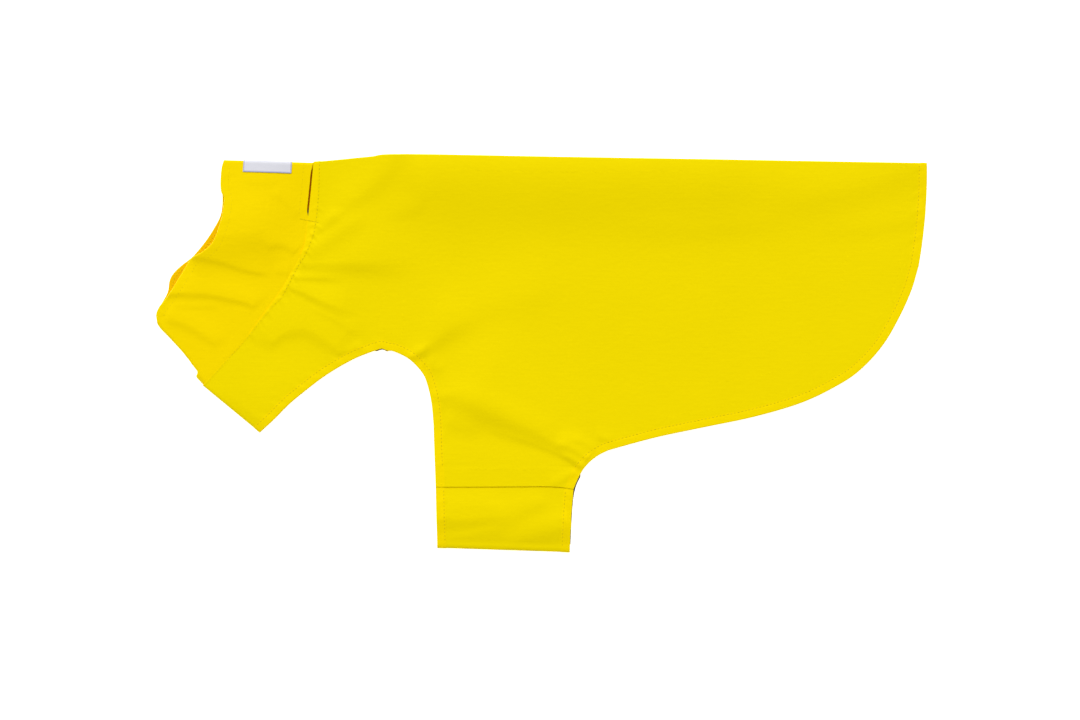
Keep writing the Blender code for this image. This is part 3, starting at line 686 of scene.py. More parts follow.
# %% [markdown]
# ## Camera, floor and light
#
# The coat is looked at from straight above, as a shop lays a garment out for its picture. A long lens far away keeps
# the outline true: near a wide lens the back would look longer than the hem.
#
# The light is one broad soft sun from beyond the back, with a white room round it. Every slope that faces the back
# then turns a little brighter and every slope that faces the belly a little darker, and that is all that draws the
# folds. A small lamp would draw them too, but with hard shadows that soft cloth in a bright room doesn't have. The
# table glows a little, so that it stays white and the coat's own shadow on it stays faint.

# %% Camera
VIEW_WIDTH = 0.7128
VIEW_CENTRE = (-0.0010, -0.0045, 0.0050)
VIEW_DISTANCE = 2.6
SENSOR = 36.0

eye = bpy.data.cameras.new("view_from_above")
eye.sensor_width = SENSOR
eye.lens = SENSOR * VIEW_DISTANCE / VIEW_WIDTH
camera = new_object("view_from_above", eye)
camera.location = (VIEW_CENTRE[0], VIEW_CENTRE[1], VIEW_CENTRE[2] + VIEW_DISTANCE)
bpy.context.scene.camera = camera
print("lens, mm:", round(eye.lens, 1))


# %% Sun and room
WHITE = (1.0, 1.0, 1.0, 1.0)
SUN_TILT = 38.0
SUN_TURN = -8.0
SUN_SPREAD = 50.0
SUN_STRENGTH = 2.58
ROOM_STRENGTH = 0.38

lamp = bpy.data.lights.new("soft_sun", "SUN")
lamp.energy = SUN_STRENGTH
lamp.angle = np.radians(SUN_SPREAD)
sun = new_object("soft_sun", lamp)
sun.rotation_euler = (np.radians(-SUN_TILT), np.radians(SUN_TURN), 0.0)

room = bpy.data.worlds.new("white_room")
room.use_nodes = True
backdrop = room.node_tree.nodes["Background"]
backdrop.inputs["Color"].default_value = WHITE
backdrop.inputs["Strength"].default_value = ROOM_STRENGTH
bpy.context.scene.world = room
bpy.context.scene.view_settings.view_transform = "Standard"
print("sun over room:", round(SUN_STRENGTH / ROOM_STRENGTH, 1))


# %% Floor
FLOOR_REACH = 3.0
FLOOR_DROP = 0.0002
TABLE_PAINT = {
    "Base Color": (0.97, 0.97, 0.97, 1.0),
    "Roughness": 0.9,
    "Specular IOR Level": 0.0,
    "Emission Color": WHITE,
    "Emission Strength": 0.8,
}

corners = np.array([(-1, -1), (1, -1), (1, 1), (-1, 1)]) * FLOOR_REACH
floor_mesh = bpy.data.meshes.new("table_top")
floor_mesh.from_pydata([(x, y, -FLOOR_DROP) for x, y in corners], [], [(0, 1, 2, 3)])
floor = new_object("table_top", floor_mesh)
table_paint = bpy.data.materials.new("table_paint")
table_paint.use_nodes = True
for socket, value in TABLE_PAINT.items():
    table_paint.node_tree.nodes["Principled BSDF"].inputs[socket].default_value = value
floor_mesh.materials.append(table_paint)
print("floor, metres across:", 2 * FLOOR_REACH)


# %% [markdown]
# ## Finishes
#
# Rain cloth is a plain weave of fine threads under a thin clear coating. Close to, it has a grid of threads and a few
# thicker ones that run along the cloth, a faint crumple, and a soft sheen. Where it is doubled, less light comes
# through from the dark lining behind, and the yellow is a little warmer: in one way along the hems of the body and
# the band, and in another on the collar, where all of it is double. The inner side of the cloth is painted a deeper
# colour that stands in for light. On the body and the band it is orange, a painted glow of light that bounces inside
# the coat and shines through the cloth where the slit opens. On the collar it is a darker yellow, painted shade and
# bounced light where its far half shows past the near half. The weave is drawn on the cut of the cloth, so it turns
# with the cloth round the fold of the back. It could be an image of woven threads, but waves and noise stay sharp at
# any distance and never show where they repeat.

# %% Nodes and shaders


def add_node(material, kind, inputs, **settings):
    """A node with its settings. Each input is given a value, or is linked to another node's output."""
    node = material.node_tree.nodes.new(kind)
    for name, value in settings.items():
        setattr(node, name, value)
    for name, value in inputs.items():
        if isinstance(value, bpy.types.NodeSocket):
            material.node_tree.links.new(value, node.inputs[name])
        else:
            node.inputs[name].default_value = value
    return node


def new_finish(name, **settings):
    """A new material and its shader, with constants set on the shader's own sockets."""
    material = bpy.data.materials.new(name)
    material.use_nodes = True
    shader = material.node_tree.nodes["Principled BSDF"]
    for socket, value in settings.items():
        shader.inputs[socket.replace("_", " ")].default_value = value
    return material, shader


def link(material, output, target):
    """Feeds a shader's input from a node's output."""
    material.node_tree.links.new(output, target)


# %% Patterns on the cut of the cloth
WAVE_RATE = 20.0
UNSCALED = (1.0, 1.0, 1.0)


def cut_scaled(material, scale):
    """The place on the cut of the cloth, stretched by the scale in cycles a metre."""
    cut = add_node(material, "ShaderNodeUVMap", {}, uv_map="cut")
    stretched = add_node(material, "ShaderNodeMapping", {"Vector": cut.outputs["UV"], "Scale": scale})
    return stretched.outputs["Vector"]


def noise(material, scale, detail, roughness=0.5):
    """Soft noise over the cut of the cloth."""
    inputs = {"Vector": cut_scaled(material, scale), "Scale": 1.0, "Detail": detail, "Roughness": roughness}
    return add_node(material, "ShaderNodeTexNoise", inputs).outputs["Fac"]


def waves(material, spacing, direction):
    """Waves across the cloth, the spacing in metres apart: the texture draws sin(20 * scale * place)."""
    inputs = {"Vector": cut_scaled(material, UNSCALED), "Scale": 2 * np.pi / (WAVE_RATE * spacing)}
    settings = {"wave_type": "BANDS", "bands_direction": direction}
    return add_node(material, "ShaderNodeTexWave", inputs, **settings).outputs["Fac"]


def threads(material, spacing):
    """A plain weave: the product of two sets of waves, one across the cloth and one along it."""
    warp, weft = (waves(material, spacing, direction) for direction in ("X", "Y"))
    return add_node(material, "ShaderNodeMath", {0: warp, 1: weft}, operation="MULTIPLY").outputs["Value"]


def ranged(material, value, low, high):
    """A value from 0 to 1 brought between low and high."""
    inputs = {"Value": value, "To Min": low, "To Max": high}
    return add_node(material, "ShaderNodeMapRange", inputs).outputs["Result"]


def attribute(material, name):
    """A value stored on the points of the mesh."""
    node = add_node(material, "ShaderNodeAttribute", {}, attribute_name=name)
    return node.outputs["Fac"]


def blend(material, share, first, second):
    """A colour between two: first * (1 - share) + second * share. The mix node's colours are its inputs 6 and 7."""
    return add_node(material, "ShaderNodeMix", {0: share, 6: first, 7: second}, data_type="RGBA").outputs[2]


def shaded(material, colour, value):
    """A colour made lighter or darker."""
    return add_node(material, "ShaderNodeHueSaturation", {"Color": colour, "Value": value}).outputs["Color"]


def bumped(material, height, strength, depth, under=None):
    """A bump of the given depth in metres, over another."""
    inputs = {"Height": height, "Strength": strength, "Distance": depth}
    if under is not None:
        inputs["Normal"] = under
    return add_node(material, "ShaderNodeBump", inputs).outputs["Normal"]


print("rate of the wave texture:", WAVE_RATE)


# %% The rain cloth
SINGLE_YELLOW = (0.860, 0.680, 0.000, 1.0)
HEM_YELLOW = (0.905, 0.688, 0.000, 1.0)
DOUBLED_YELLOW = (0.905, 0.667, 0.000, 1.0)
# Inner side of the collar: a darker, more orange yellow, painted shade and bounced light where its far half shows.
INSIDE_SHADE_YELLOW = (0.860, 0.500, 0.000, 1.0)
# Inner side of the body and band: orange, a painted glow of light bouncing inside the coat, seen through the slit.
INSIDE_GLOW_ORANGE = (0.920, 0.220, 0.000, 1.0)
COATING_TINT = (1.0, 0.86, 0.02, 1.0)
SLUB_CYCLES = (45.0, 1500.0, 1.0)
PATCH_CYCLES = (28.0, 28.0, 1.0)
CRUMPLE_CYCLES = (240.0, 330.0, 1.0)
THREAD_SPACING = 0.0003
WEAVE_DEPTH = 0.00004
CRUMPLE_DEPTH = 0.00025


def rain_cloth(name, single, doubled, inside):
    """Plain-woven rain cloth: one yellow where it is single, another where it is doubled, a painted colour on the
    inner side for the shade and bounced light there, and slubs along the cloth."""
    material, shader = new_finish(name, Roughness=0.5, Specular_IOR_Level=0.35, Specular_Tint=COATING_TINT)
    slubs = noise(material, SLUB_CYCLES, 3.0)
    patches = noise(material, PATCH_CYCLES, 3.0)
    crumple = noise(material, CRUMPLE_CYCLES, 4.0, 0.6)
    colour = blend(material, attribute(material, "doubled"), single, doubled)
    # The inner side takes the painted inside colour: painted glow on the body and band, painted shade on the collar.
    colour = blend(material, attribute(material, "inner_side"), colour, inside)
    colour = shaded(material, colour, ranged(material, slubs, 0.965, 1.035))
    colour = shaded(material, colour, ranged(material, patches, 0.985, 1.015))
    link(material, colour, shader.inputs["Base Color"])
    link(material, ranged(material, crumple, 0.42, 0.58), shader.inputs["Roughness"])
    weave = bumped(material, threads(material, THREAD_SPACING), 0.35, WEAVE_DEPTH)
    crumpled = bumped(material, crumple, 0.5, CRUMPLE_DEPTH, weave)
    link(material, crumpled, shader.inputs["Normal"])
    return material


shell_cloth = rain_cloth("shell_cloth", SINGLE_YELLOW, HEM_YELLOW, INSIDE_GLOW_ORANGE)
collar_cloth = rain_cloth("collar_cloth", SINGLE_YELLOW, DOUBLED_YELLOW, INSIDE_SHADE_YELLOW)
print("finishes so far:", [material.name for material in (shell_cloth, collar_cloth)])


# %% [markdown]
# ## Lining, thread and label finishes
#
# The lining is a dark mesh knit: rows of small holes, soft and without shine. There are two threads, both a little
# greener than the cloth: the one in the hems is painted darker, as painted shade for the groove that it sinks into,
# and the collar's is lighter and finer. The label is a satin ribbon, white with a cool cast, whose border is
# grey-blue. All of them reuse the waves of the rain cloth's weave at another spacing, because every one of them is
# woven, knitted or twisted.

# %% Lining, thread and label
LINING_NAVY = (0.010, 0.013, 0.034, 1.0)
LINING_LIGHT = (0.022, 0.030, 0.075, 1.0)
THREAD_YELLOW = (0.86, 0.66, 0.005, 1.0)
THREAD_OLIVE = (0.73, 0.59, 0.005, 1.0)
# Painted shade: the hem thread's dark colour stands for the shade of the groove that it sinks into.
THREAD_GROOVE_SHADE = (0.56, 0.46, 0.005, 1.0)
RIBBON_WHITE = (0.66, 0.66, 0.72, 1.0)
RIBBON_BORDER = (0.44, 0.45, 0.64, 1.0)
THREAD_TINT = (1.0, 0.86, 0.05, 1.0)
KNIT_SPACING = 0.0011
KNIT_DEPTH = 0.0003
TWIST_SPACING = 0.00035
TWIST_DEPTH = 0.00006
WEFT_CYCLES = (300.0, 5000.0, 1.0)
RIBBON_SPACING = 0.00022
RIBBON_DEPTH = 0.00005


def lining_mesh():
    """Dark warp-knit mesh: a grid of waves gives the rows of holes."""
    material, shader = new_finish("lining_mesh", Roughness=0.85, Specular_IOR_Level=0.2, Sheen_Weight=0.15)
    knit = threads(material, KNIT_SPACING)
    colour = blend(material, knit, LINING_NAVY, LINING_LIGHT)
    link(material, colour, shader.inputs["Base Color"])
    link(material, bumped(material, knit, 0.8, KNIT_DEPTH), shader.inputs["Normal"])
    return material


def sewing_thread(name, light, dark):
    """Twisted thread: slanting waves across each stitch."""
    material, shader = new_finish(name, Roughness=0.45, Specular_Tint=THREAD_TINT)
    twist = waves(material, TWIST_SPACING, "DIAGONAL")
    link(material, blend(material, twist, dark, light), shader.inputs["Base Color"])
    link(material, bumped(material, twist, 0.6, TWIST_DEPTH), shader.inputs["Normal"])
    return material


def label_satin():
    """Satin ribbon with a border woven double, in a second colour."""
    material, shader = new_finish("label_satin", Roughness=0.42, Sheen_Weight=0.1)
    border = attribute(material, "doubled")
    weft = noise(material, WEFT_CYCLES, 2.0)
    colour = blend(material, border, RIBBON_WHITE, RIBBON_BORDER)
    colour = shaded(material, colour, ranged(material, weft, 0.93, 1.07))
    link(material, colour, shader.inputs["Base Color"])
    link(material, bumped(material, threads(material, RIBBON_SPACING), 0.4, RIBBON_DEPTH), shader.inputs["Normal"])
    return material


lining_cloth = lining_mesh()
# The hem thread is painted darker than the collar's, as painted shade for its groove.
hem_thread = sewing_thread("hem_thread", THREAD_OLIVE, THREAD_GROOVE_SHADE)
collar_thread = sewing_thread("collar_thread", THREAD_YELLOW, THREAD_OLIVE)
ribbon = label_satin()
print("and:", [material.name for material in (lining_cloth, hem_thread, collar_thread, ribbon)])


# %% [markdown]
# ## The columns and rows of the body
#
# The body's columns run from its top edge to its bottom edge. Head first they cross the chest strap, the shoulder,
# the belly flap and the flank. They crowd at the chest seam, at both sides of the flap and at the tail, where there
# are hems or seams. The four parts could be four pieces joined later. One run of columns is simpler, because
# neighbours then share their edge without any joining.

# %% The edges of the body
SHOULDER = 0.22
ARMPIT = 0.385
FLANK = 0.57
neck_line = smooth_curve(NECK_SEAM)
neck_stitches = smooth_curve(NECK_STITCHES)
back_line = smooth_curve(BACK_FOLD)
leg_line = smooth_curve(LEG_OPENING)
root_line = smooth_curve(FLAP_ROOT)
hem_line = smooth_curve(HEM)


def stretch(start, end, length, middle, from_start=(0.0,), from_end=(0.0,)):
    """Shares of the body's length over one stretch of it, with its crowded ends: start + (end - start) * spread."""
    return start + (end - start) * spread(length, middle, from_start, from_end)[:, 0]


def top_edge(shares):
    """The body's top edge: the collar seam and the slit up to the shoulder, then the fold of the back."""
    short_of_fold = 1 - BACK_ROLL / curve_length(neck_line)
    seam = along_curve(neck_line, np.clip(shares / SHOULDER, 0, 1) * short_of_fold)
    back = along_curve(back_line, np.clip((shares - SHOULDER) / (1 - SHOULDER), 0, 1))
    return np.where((shares < SHOULDER)[:, None], seam, back)


def bottom_edge(shares):
    """The body's bottom edge: the leg opening, the root of the belly flap and the hem."""
    leg = along_curve(leg_line, np.clip(shares / ARMPIT, 0, 1))
    root = along_curve(root_line, np.clip((shares - ARMPIT) / (FLANK - ARMPIT), 0, 1))
    hem = along_curve(hem_line, np.clip((shares - FLANK) / (1 - FLANK), 0, 1))
    over_leg = (shares < ARMPIT)[:, None]
    over_root = (shares < FLANK)[:, None]
    return np.where(over_leg, leg, np.where(over_root, root, hem))


def body_plan(shares, top, bottom, down_shares):
    """Rows of half the body, with the tail's edge bowed out by the parabola 4 * bow * t * (1 - t)."""
    plan = ruled(top, bottom, down_shares)
    at_tail = ease((shares - TAIL_BOW_FROM) / (1 - TAIL_BOW_FROM))
    plan[..., 0] += 4 * TAIL_BOW * down_shares * (1 - down_shares) * at_tail
    return plan


def flap_plan(root, across, down_shares):
    """Rows of the belly flap from its root to its hem: a ruled surface, plus what draws its first and last column onto
    its curved sides, shared out between them."""
    plan = ruled(root, along_curve(smooth_curve(FLAP_HEM), across), down_shares)
    head_pull = along_curve(smooth_curve(FLAP_HEAD_SIDE), down_shares) - plan[:, 0]
    tail_pull = along_curve(smooth_curve(FLAP_TAIL_SIDE), down_shares) - plan[:, -1]
    return plan + ruled(head_pull, tail_pull, across).transpose(1, 0, 2)


print("round the hem, mm:", curve_length(hem_line).round(1))


# %% The columns of the body
CHEST_COLUMNS = 160
SHOULDER_COLUMNS = 62
FLAP_COLUMNS = 36
FLANK_COLUMNS = 55

shoulder_length = curve_length(leg_line) * (ARMPIT - SHOULDER) / ARMPIT
flank_length = curve_length(back_line) * (1 - FLANK) / (1 - SHOULDER)
chest = stretch(0.0, SHOULDER, curve_length(neck_line), CHEST_COLUMNS, COARSE_STEPS)
shoulder = stretch(SHOULDER, ARMPIT, shoulder_length, SHOULDER_COLUMNS)
flap = stretch(ARMPIT, FLANK, curve_length(root_line), FLAP_COLUMNS, HEM_STEPS, HEM_STEPS)
flank = stretch(FLANK, 1.0, flank_length, FLANK_COLUMNS, (0.0,), HEM_STEPS)
shares = np.concatenate([chest[:-1], shoulder[:-1], flap[:-1], flank])
on_back = slice(len(chest) - 1, None)
root_start = len(chest) + len(shoulder) - 2
root_end = root_start + len(flap) - 1
on_root = slice(root_start, root_end + 1)
print("columns of the body:", len(shares))


# %% [markdown]
# ## Hems, seams and gathers
#
# The edge of the cloth is turned under and stitched down, so a strip along each edge is two plies thick. Most of the
# second ply hangs below the first, so the strip sinks as it thickens. The stitches pull a shallow groove into it. At
# the collar seam the allowances of both pieces lie under the body's edge and make a narrow firm ridge, with a fine
# ditch where the two pieces meet. Stitching also draws the cloth up a little, so it ripples along the line. The
# ripple is a sum of three waves whose lengths don't divide each other, so it never looks regular. Hems could be real
# folds of the cloth. A thicker wall looks the same from outside, and it needs no hidden layers.

# %% What an edge does to the cloth
HEM_STITCH = 5.3
LEG_STITCH = 5.0
SLIT_STITCH = 5.0
SLIT_END = 43.4
SLIT_FADE = 2.0
SLIT_ROUND = 0.4
GROOVE = 0.12
GROOVE_WIDTH = 0.75
DITCH = 0.16
DITCH_WIDTH = 0.8
THINNEST = 0.06
HEM_RIPPLE = (0.05, 3.5, 1.0)
RIPPLE_WAVES = ((9.7, 0.4, 1.0), (5.9, 2.1, 0.7), (15.3, 4.4, 0.8))
RIPPLE_SLANT = 0.45


def doubled_by(distance, width, last=0.5):
    """1 over a strip of the given width along an edge, falling to 0 over the last part of it."""
    return 1 - ease((distance - width + last) / last)


def round_off(distance, radius):
    """The half-round of a folded edge: sqrt(1 - (1 - d / r)^2) up to the radius, and 1 beyond it."""
    return np.sqrt(1 - (1 - np.clip(distance / radius, 0, 1)) ** 2)


def beside_slit(plan):
    """1 beside the open slit, and 0 below its end."""
    return ease((SLIT_END - plan[..., 1]) / SLIT_FADE)


def round_slit(seam, open_slit):
    """The half-round of the folded edge at the slit, and 1 where the seam is closed."""
    return 1 - (1 - round_off(seam, SLIT_ROUND)) * open_slit


def groove(distance, stitch_line):
    """Depth of the groove that stitches pull, a bell over the stitch line."""
    return GROOVE * np.exp(-(((distance - stitch_line) / GROOVE_WIDTH) ** 2))


def ditch(distance):
    """Depth of the ditch between two pieces that are sewn edge to edge, a bell over the seam."""
    return DITCH * np.exp(-((distance / DITCH_WIDTH) ** 2))


def ripple(distance, reach, stitch_line, size=HEM_RIPPLE):
    """Ripple along a stitched line: three waves along the line, strongest at the stitches."""
    rise, width, stretched = size
    phase = (reach + RIPPLE_SLANT * distance) / stretched
    swing = sum(share * np.sin(2 * np.pi * phase / length + start) for length, start, share in RIPPLE_WAVES)
    return rise * swing * np.exp(-(((distance - stitch_line) / width) ** 2))


print("waves in a ripple:", len(RIPPLE_WAVES))


# %% The edges of half the body, and its wall
HEM_WIDTH = 6.3
HEM_SLOPE = 2.0
HEM_SINK = 0.75
FLAP_HEM_WIDTH = 13.0
FLAP_HEM_WALL = 0.7
EDGE_ROUND = 0.4
FLAP_ROUND = 0.15
EDGE_CALM = 1.0
LAP_SLOPE = 2.4
LAP_REACH = 20.0
LAP_FADE = 4.0
LAP_GROOVE = 0.25
NECK_RIPPLE = (0.12, 4.0, 0.62)
NECK_CALM = 2.0
GATHERS = (20.0, 152.0)
GATHERS_FADE = (30.0, 25.0)
Edges = namedtuple("Edges", "leg flap tail neck chest")


def hemmed(first, second, last=0.5):
    """How far the hems along two edges double the cloth: the greater of the two."""
    return np.maximum(doubled_by(first, HEM_WIDTH, last), doubled_by(second, HEM_WIDTH, last))


def edges_of(half, half_flap):
    """The edges of half the body: leg opening with the flap's head side, flap hem, flap's tail side with the hem and
    the tail, collar seam, and chest seam."""
    leg = np.concatenate([half[-1, :root_start + 1], half_flap[1:, 0]])
    tail = np.concatenate([half_flap[::-1, -1], half[-1, root_end + 1:], half[-2::-1, -1], [BACK_FOLD[-1]]])
    return Edges(leg, half_flap[-1], tail, half[0, :on_back.start + 1], half[:, 0])


def body_wall(edges, plan):
    """The wall of the body, how far it is doubled, and how far its middle ripples and sinks, at each place.

    The wall is one ply, brought towards the hem's, the flap hem's or the seam's by the widest share of each, less the
    grooves and the ditch, times the half-rounds of its edges."""
    leg, _, leg_reach = from_line(edges.leg, plan)
    tail, _, tail_reach = from_line(edges.tail, plan)
    neck = from_line(edges.neck, plan)[0]
    lap, lap_side, lap_reach = from_line(neck_stitches[EVERY_SIXTH], plan)
    flap_edge = from_line(edges.flap, plan)[0]
    chest_edge = from_line(edges.chest, plan)[0]
    flap_hem = doubled_by(flap_edge, FLAP_HEM_WIDTH)
    lapped = ease(lap * lap_side / LAP_SLOPE + 0.5) * ease((LAP_REACH - neck) / LAP_FADE)
    padded = hemmed(leg, tail, HEM_SLOPE)
    wall = PLY + (HEM_WALL - PLY) * padded
    wall = np.maximum(wall, PLY + (FLAP_HEM_WALL - PLY) * flap_hem)
    wall = np.maximum(wall, PLY + (SEAM_WALL - PLY) * lapped)
    open_hem = 1 - flap_hem
    wall = wall - (groove(leg, LEG_STITCH) + groove(tail, HEM_STITCH)) * open_hem
    wall = wall - LAP_GROOVE * groove(lap, 0.0) - ditch(neck)
    open_edge = np.minimum(leg, tail)
    wall = wall * round_off(np.minimum(open_edge, chest_edge), EDGE_ROUND) * round_off(flap_edge, FLAP_ROUND)
    wall = wall * round_slit(neck, beside_slit(plan))
    rise = (ripple(leg, leg_reach, LEG_STITCH) + ripple(tail, tail_reach, HEM_STITCH)) * open_hem
    gathered = ease((lap_reach - GATHERS[0]) / GATHERS_FADE[0]) * ease((GATHERS[1] - lap_reach) / GATHERS_FADE[1])
    rise = rise + ripple(lap, lap_reach, 0.0, NECK_RIPPLE) * gathered * ease(neck / NECK_CALM)
    rise = rise * ease(np.minimum(open_edge, flap_edge) / EDGE_CALM)
    sink = HEM_SINK * padded * (HEM_WALL - PLY) / 2
    return np.maximum(wall, THINNEST), np.maximum(hemmed(leg, tail), lapped), rise - sink


print("hem of the body, mm:", HEM_WIDTH, "wide and", HEM_WALL, "thick")


# %% [markdown]
# ## The body
#
# The near half, the fold of the back, the far half and both belly flaps are one piece of cloth, as they are on the
# pattern. The far half lies flat on the table. It reaches a little past the near half at the top of the leg opening
# and beside the slit, and as little of it shows, a coarse grid is enough. It could be a mirrored copy of the near
# half, but the folds that rise from the near half would then cut down through the table.

# %% The slit and the top of the leg opening
FAR_SLIT_GAP = 2.2
SEWN_GAP = -0.3
SLIT_RUN_OUT = 7.0
LEG_PEEP = 0.55
PEEP_SPAN = (41.0, 51.0)
PEEP_FADE = 1.5
NAPE_OPENING = 0.25
NAPE_RUN = 9.0


def slit_open(seam):
    """How far open the slit is at places down the collar seam: a quarter at the nape, and closed at its lower end."""
    down = seam[:, 1:]
    opening = NAPE_OPENING + (1 - NAPE_OPENING) * ease((down - NECK_SEAM[-1].down) / NAPE_RUN)
    return opening * ease((SLIT_END - down) / SLIT_RUN_OUT)


def leg_peep(shares, edge):
    """Share of the leg opening's peep at each column: all of it at the top of the arch."""
    start, end = PEEP_SPAN
    at_arch = ease((edge[:, 0] - start) / PEEP_FADE) * ease((end - edge[:, 0]) / PEEP_FADE)
    return (at_arch * (shares < ARMPIT))[:, None]


print("the slit's far edge lies back by up to, mm:", FAR_SLIT_GAP)


# %% The near half and its flap
FLAP_DEPTH = 36.0
NEAR_ROWS = 62
NEAR_FLAP_ROWS = 12
FLAP_HEM_STEPS = (0.0, 0.1, 0.3, 0.65, 1.2, 2.0, 3.2, 5.0, 7.0, 9.0, 11.0, 12.2, 12.6, 13.0, 13.6, 14.6)

top = top_edge(shares)
bottom = bottom_edge(shares)
back_fold = top[on_back] + (0.0, PLY / 2)
top[on_back] += (0.0, BACK_ROLL)
lengths = np.linalg.norm(bottom - top, axis=-1)
across_flap = (shares[on_root] - ARMPIT) / (FLANK - ARMPIT)

near_plan = body_plan(shares, top, bottom, spread(lengths, NEAR_ROWS, SEAM_STEPS, HEM_STEPS))
near_flap_rows = spread(FLAP_DEPTH, NEAR_FLAP_ROWS, (0.0,), FLAP_HEM_STEPS)[:, 0]
near_flap_plan = flap_plan(bottom[on_root], across_flap, near_flap_rows)
near_edges = edges_of(near_plan, near_flap_plan)


def near_cloth(plan):
    """A patch of the near half: the plan at the body's height plus its ripple, with its wall and its doubling."""
    wall, doubled, rise = body_wall(near_edges, plan)
    return patch(at_height(plan, body_height(plan) + rise), wall, doubled)


near_half, near_flap = near_cloth(near_plan), near_cloth(near_flap_plan)
print("near half, rows and columns:", near_half.shape[:2], "and its flap:", near_flap.shape[:2])


# %% The far half and its flap
FAR_ROWS = 4
FAR_FLAP_ROWS = 3

peep = LEG_PEEP * leg_peep(shares, bottom) * toward(top, bottom)
far_reach = (FAR_SLIT_GAP - SEWN_GAP) * slit_open(top) * (shares < SHOULDER)[:, None]
far_top = top - far_reach * (1.0, 0.0)
far_plan = body_plan(shares, far_top, bottom + peep, spread(lengths, FAR_ROWS, COARSE_STEPS, COARSE_STEPS))
far_flap_rows = spread(FLAP_DEPTH, FAR_FLAP_ROWS, (0.0,), COARSE_STEPS)[:, 0]
far_flap_plan = flap_plan(bottom[on_root], across_flap, far_flap_rows)
far_edges = edges_of(far_plan, far_flap_plan)


def far_cloth(plan):
    """A patch of the far half: the plan flat on the table, no thicker than a hem, so that it doesn't sink into it."""
    wall, doubled, _ = body_wall(far_edges, plan)
    return patch(at_height(plan, FAR_SHELL), np.minimum(wall, HEM_WALL), doubled, far=True)


far_half, far_flap = far_cloth(far_plan), far_cloth(far_flap_plan)
print("far half, rows and columns:", far_half.shape[:2], "and its flap:", far_flap.shape[:2])


# %% The fold of the back, and the whole body
fold_places = round_fold(far_half[0, on_back, :3], near_half[0, on_back, :3], back_fold)
fold_wall, fold_doubled, _ = body_wall(near_edges, fold_places[..., :2])
back = patch(fold_places, fold_wall, fold_doubled)
back[[0, -1]] = far_half[0, on_back], near_half[0, on_back]
body_patches = [far_half[::-1], back, near_half, near_flap, far_flap[::-1]]
body = cloth("rain_shell", body_patches, shell_cloth, ("shell",))


# %% [markdown]
# ## The collar
#
# The collar is a band of doubled cloth, sewn into a tube. Flattened, it has a near half, a fold at the nape, a far
# half and a fold at the throat. Its free edge is the fold of the doubled cloth, so it is plump and round, and it is
# stitched down like the hems. The far half reaches further out than the near half, so a strip of its inner side
# shows. It could be pulled out of the body's edge, but on the real coat it is a piece of its own that meets the body
# at a seam, so it gets its own four patches: two halves and two folds.

# %% The plan of the collar
SLIT_GAP = 1.15
COLLAR_SHORT = 0.5
NAPE_SHORT = 0.6


def seam_share(reach):
    """A length as a share of the collar seam's: reach / length of the seam."""
    return reach / curve_length(neck_line)


def collar_plan(around, free_edge, across, slit_gap=SLIT_GAP):
    """Rows of half the collar from its seam to its free edge, at shares of the way from the nape to the throat."""
    start, end = 1 - seam_share(NAPE_SHORT), seam_share(COLLAR_SHORT)
    seam = along_curve(neck_line, start + (end - start) * around)
    free = along_curve(smooth_curve(free_edge), around)
    gap = SEWN_GAP + (slit_gap - SEWN_GAP) * slit_open(seam)
    return ruled(seam + gap * toward(seam, free), free, across)


print("the collar seam is as long as, mm:", curve_length(neck_line).round(1))


# %% The wall of the collar
COLLAR_ROUND = 0.62
COLLAR_RIPPLE = (0.03, 3.5, 1.0)


def collar_wall(plan, free_edge):
    """The wall of the collar and how far it ripples: two plies, less half the grooves of its stitches and the ditch,
    times the half-rounds of its two edges."""
    free, _, reach = from_line(smooth_curve(free_edge)[EVERY_FOURTH], plan)
    distance, side, _ = from_line(neck_line[EVERY_FOURTH], plan)
    seam = np.maximum(distance * side - SEWN_GAP, 0.0)
    open_slit = beside_slit(plan)
    wall = COLLAR_WALL - (groove(free, HEM_STITCH) + groove(seam, SLIT_STITCH) * open_slit) / 2 - ditch(seam)
    wall = wall * round_off(free, COLLAR_ROUND) * round_slit(seam, open_slit)
    return np.maximum(wall, THINNEST), ripple(free, reach, HEM_STITCH, COLLAR_RIPPLE) * ease(free / EDGE_CALM)


print("the collar's wall, mm:", COLLAR_WALL)


# %% The two halves of the collar
COLLAR_WIDTH = 62.0
COLLAR_ROWS = 30
NEAR_COLLAR_COLUMNS = 130
FAR_COLLAR_COLUMNS = 60

around_near, around_far = (
    spread(curve_length(neck_line), columns, (NAPE_ROLL,), (THROAT_ROLL,))[:, 0]
    for columns in (NEAR_COLLAR_COLUMNS, FAR_COLLAR_COLUMNS)
)
across = spread(COLLAR_WIDTH, COLLAR_ROWS, SEAM_STEPS, HEM_STEPS)[:, 0]


def collar_half(around, free_edge, height, slit_gap):
    """Places of half the collar, at its height and its ripple, with its wall."""
    plan = collar_plan(around, free_edge, across, slit_gap)
    wall, rise = collar_wall(plan, free_edge)
    return at_height(plan, height(plan) + rise), wall


near_places, near_collar_wall = collar_half(around_near, NEAR_FREE_EDGE, collar_height, SLIT_GAP)
far_places, far_collar_wall = collar_half(around_far, FAR_FREE_EDGE, collar_far_height, FAR_SLIT_GAP)
print("halves of the collar, columns and rows:", near_places.shape[:2], far_places.shape[:2])


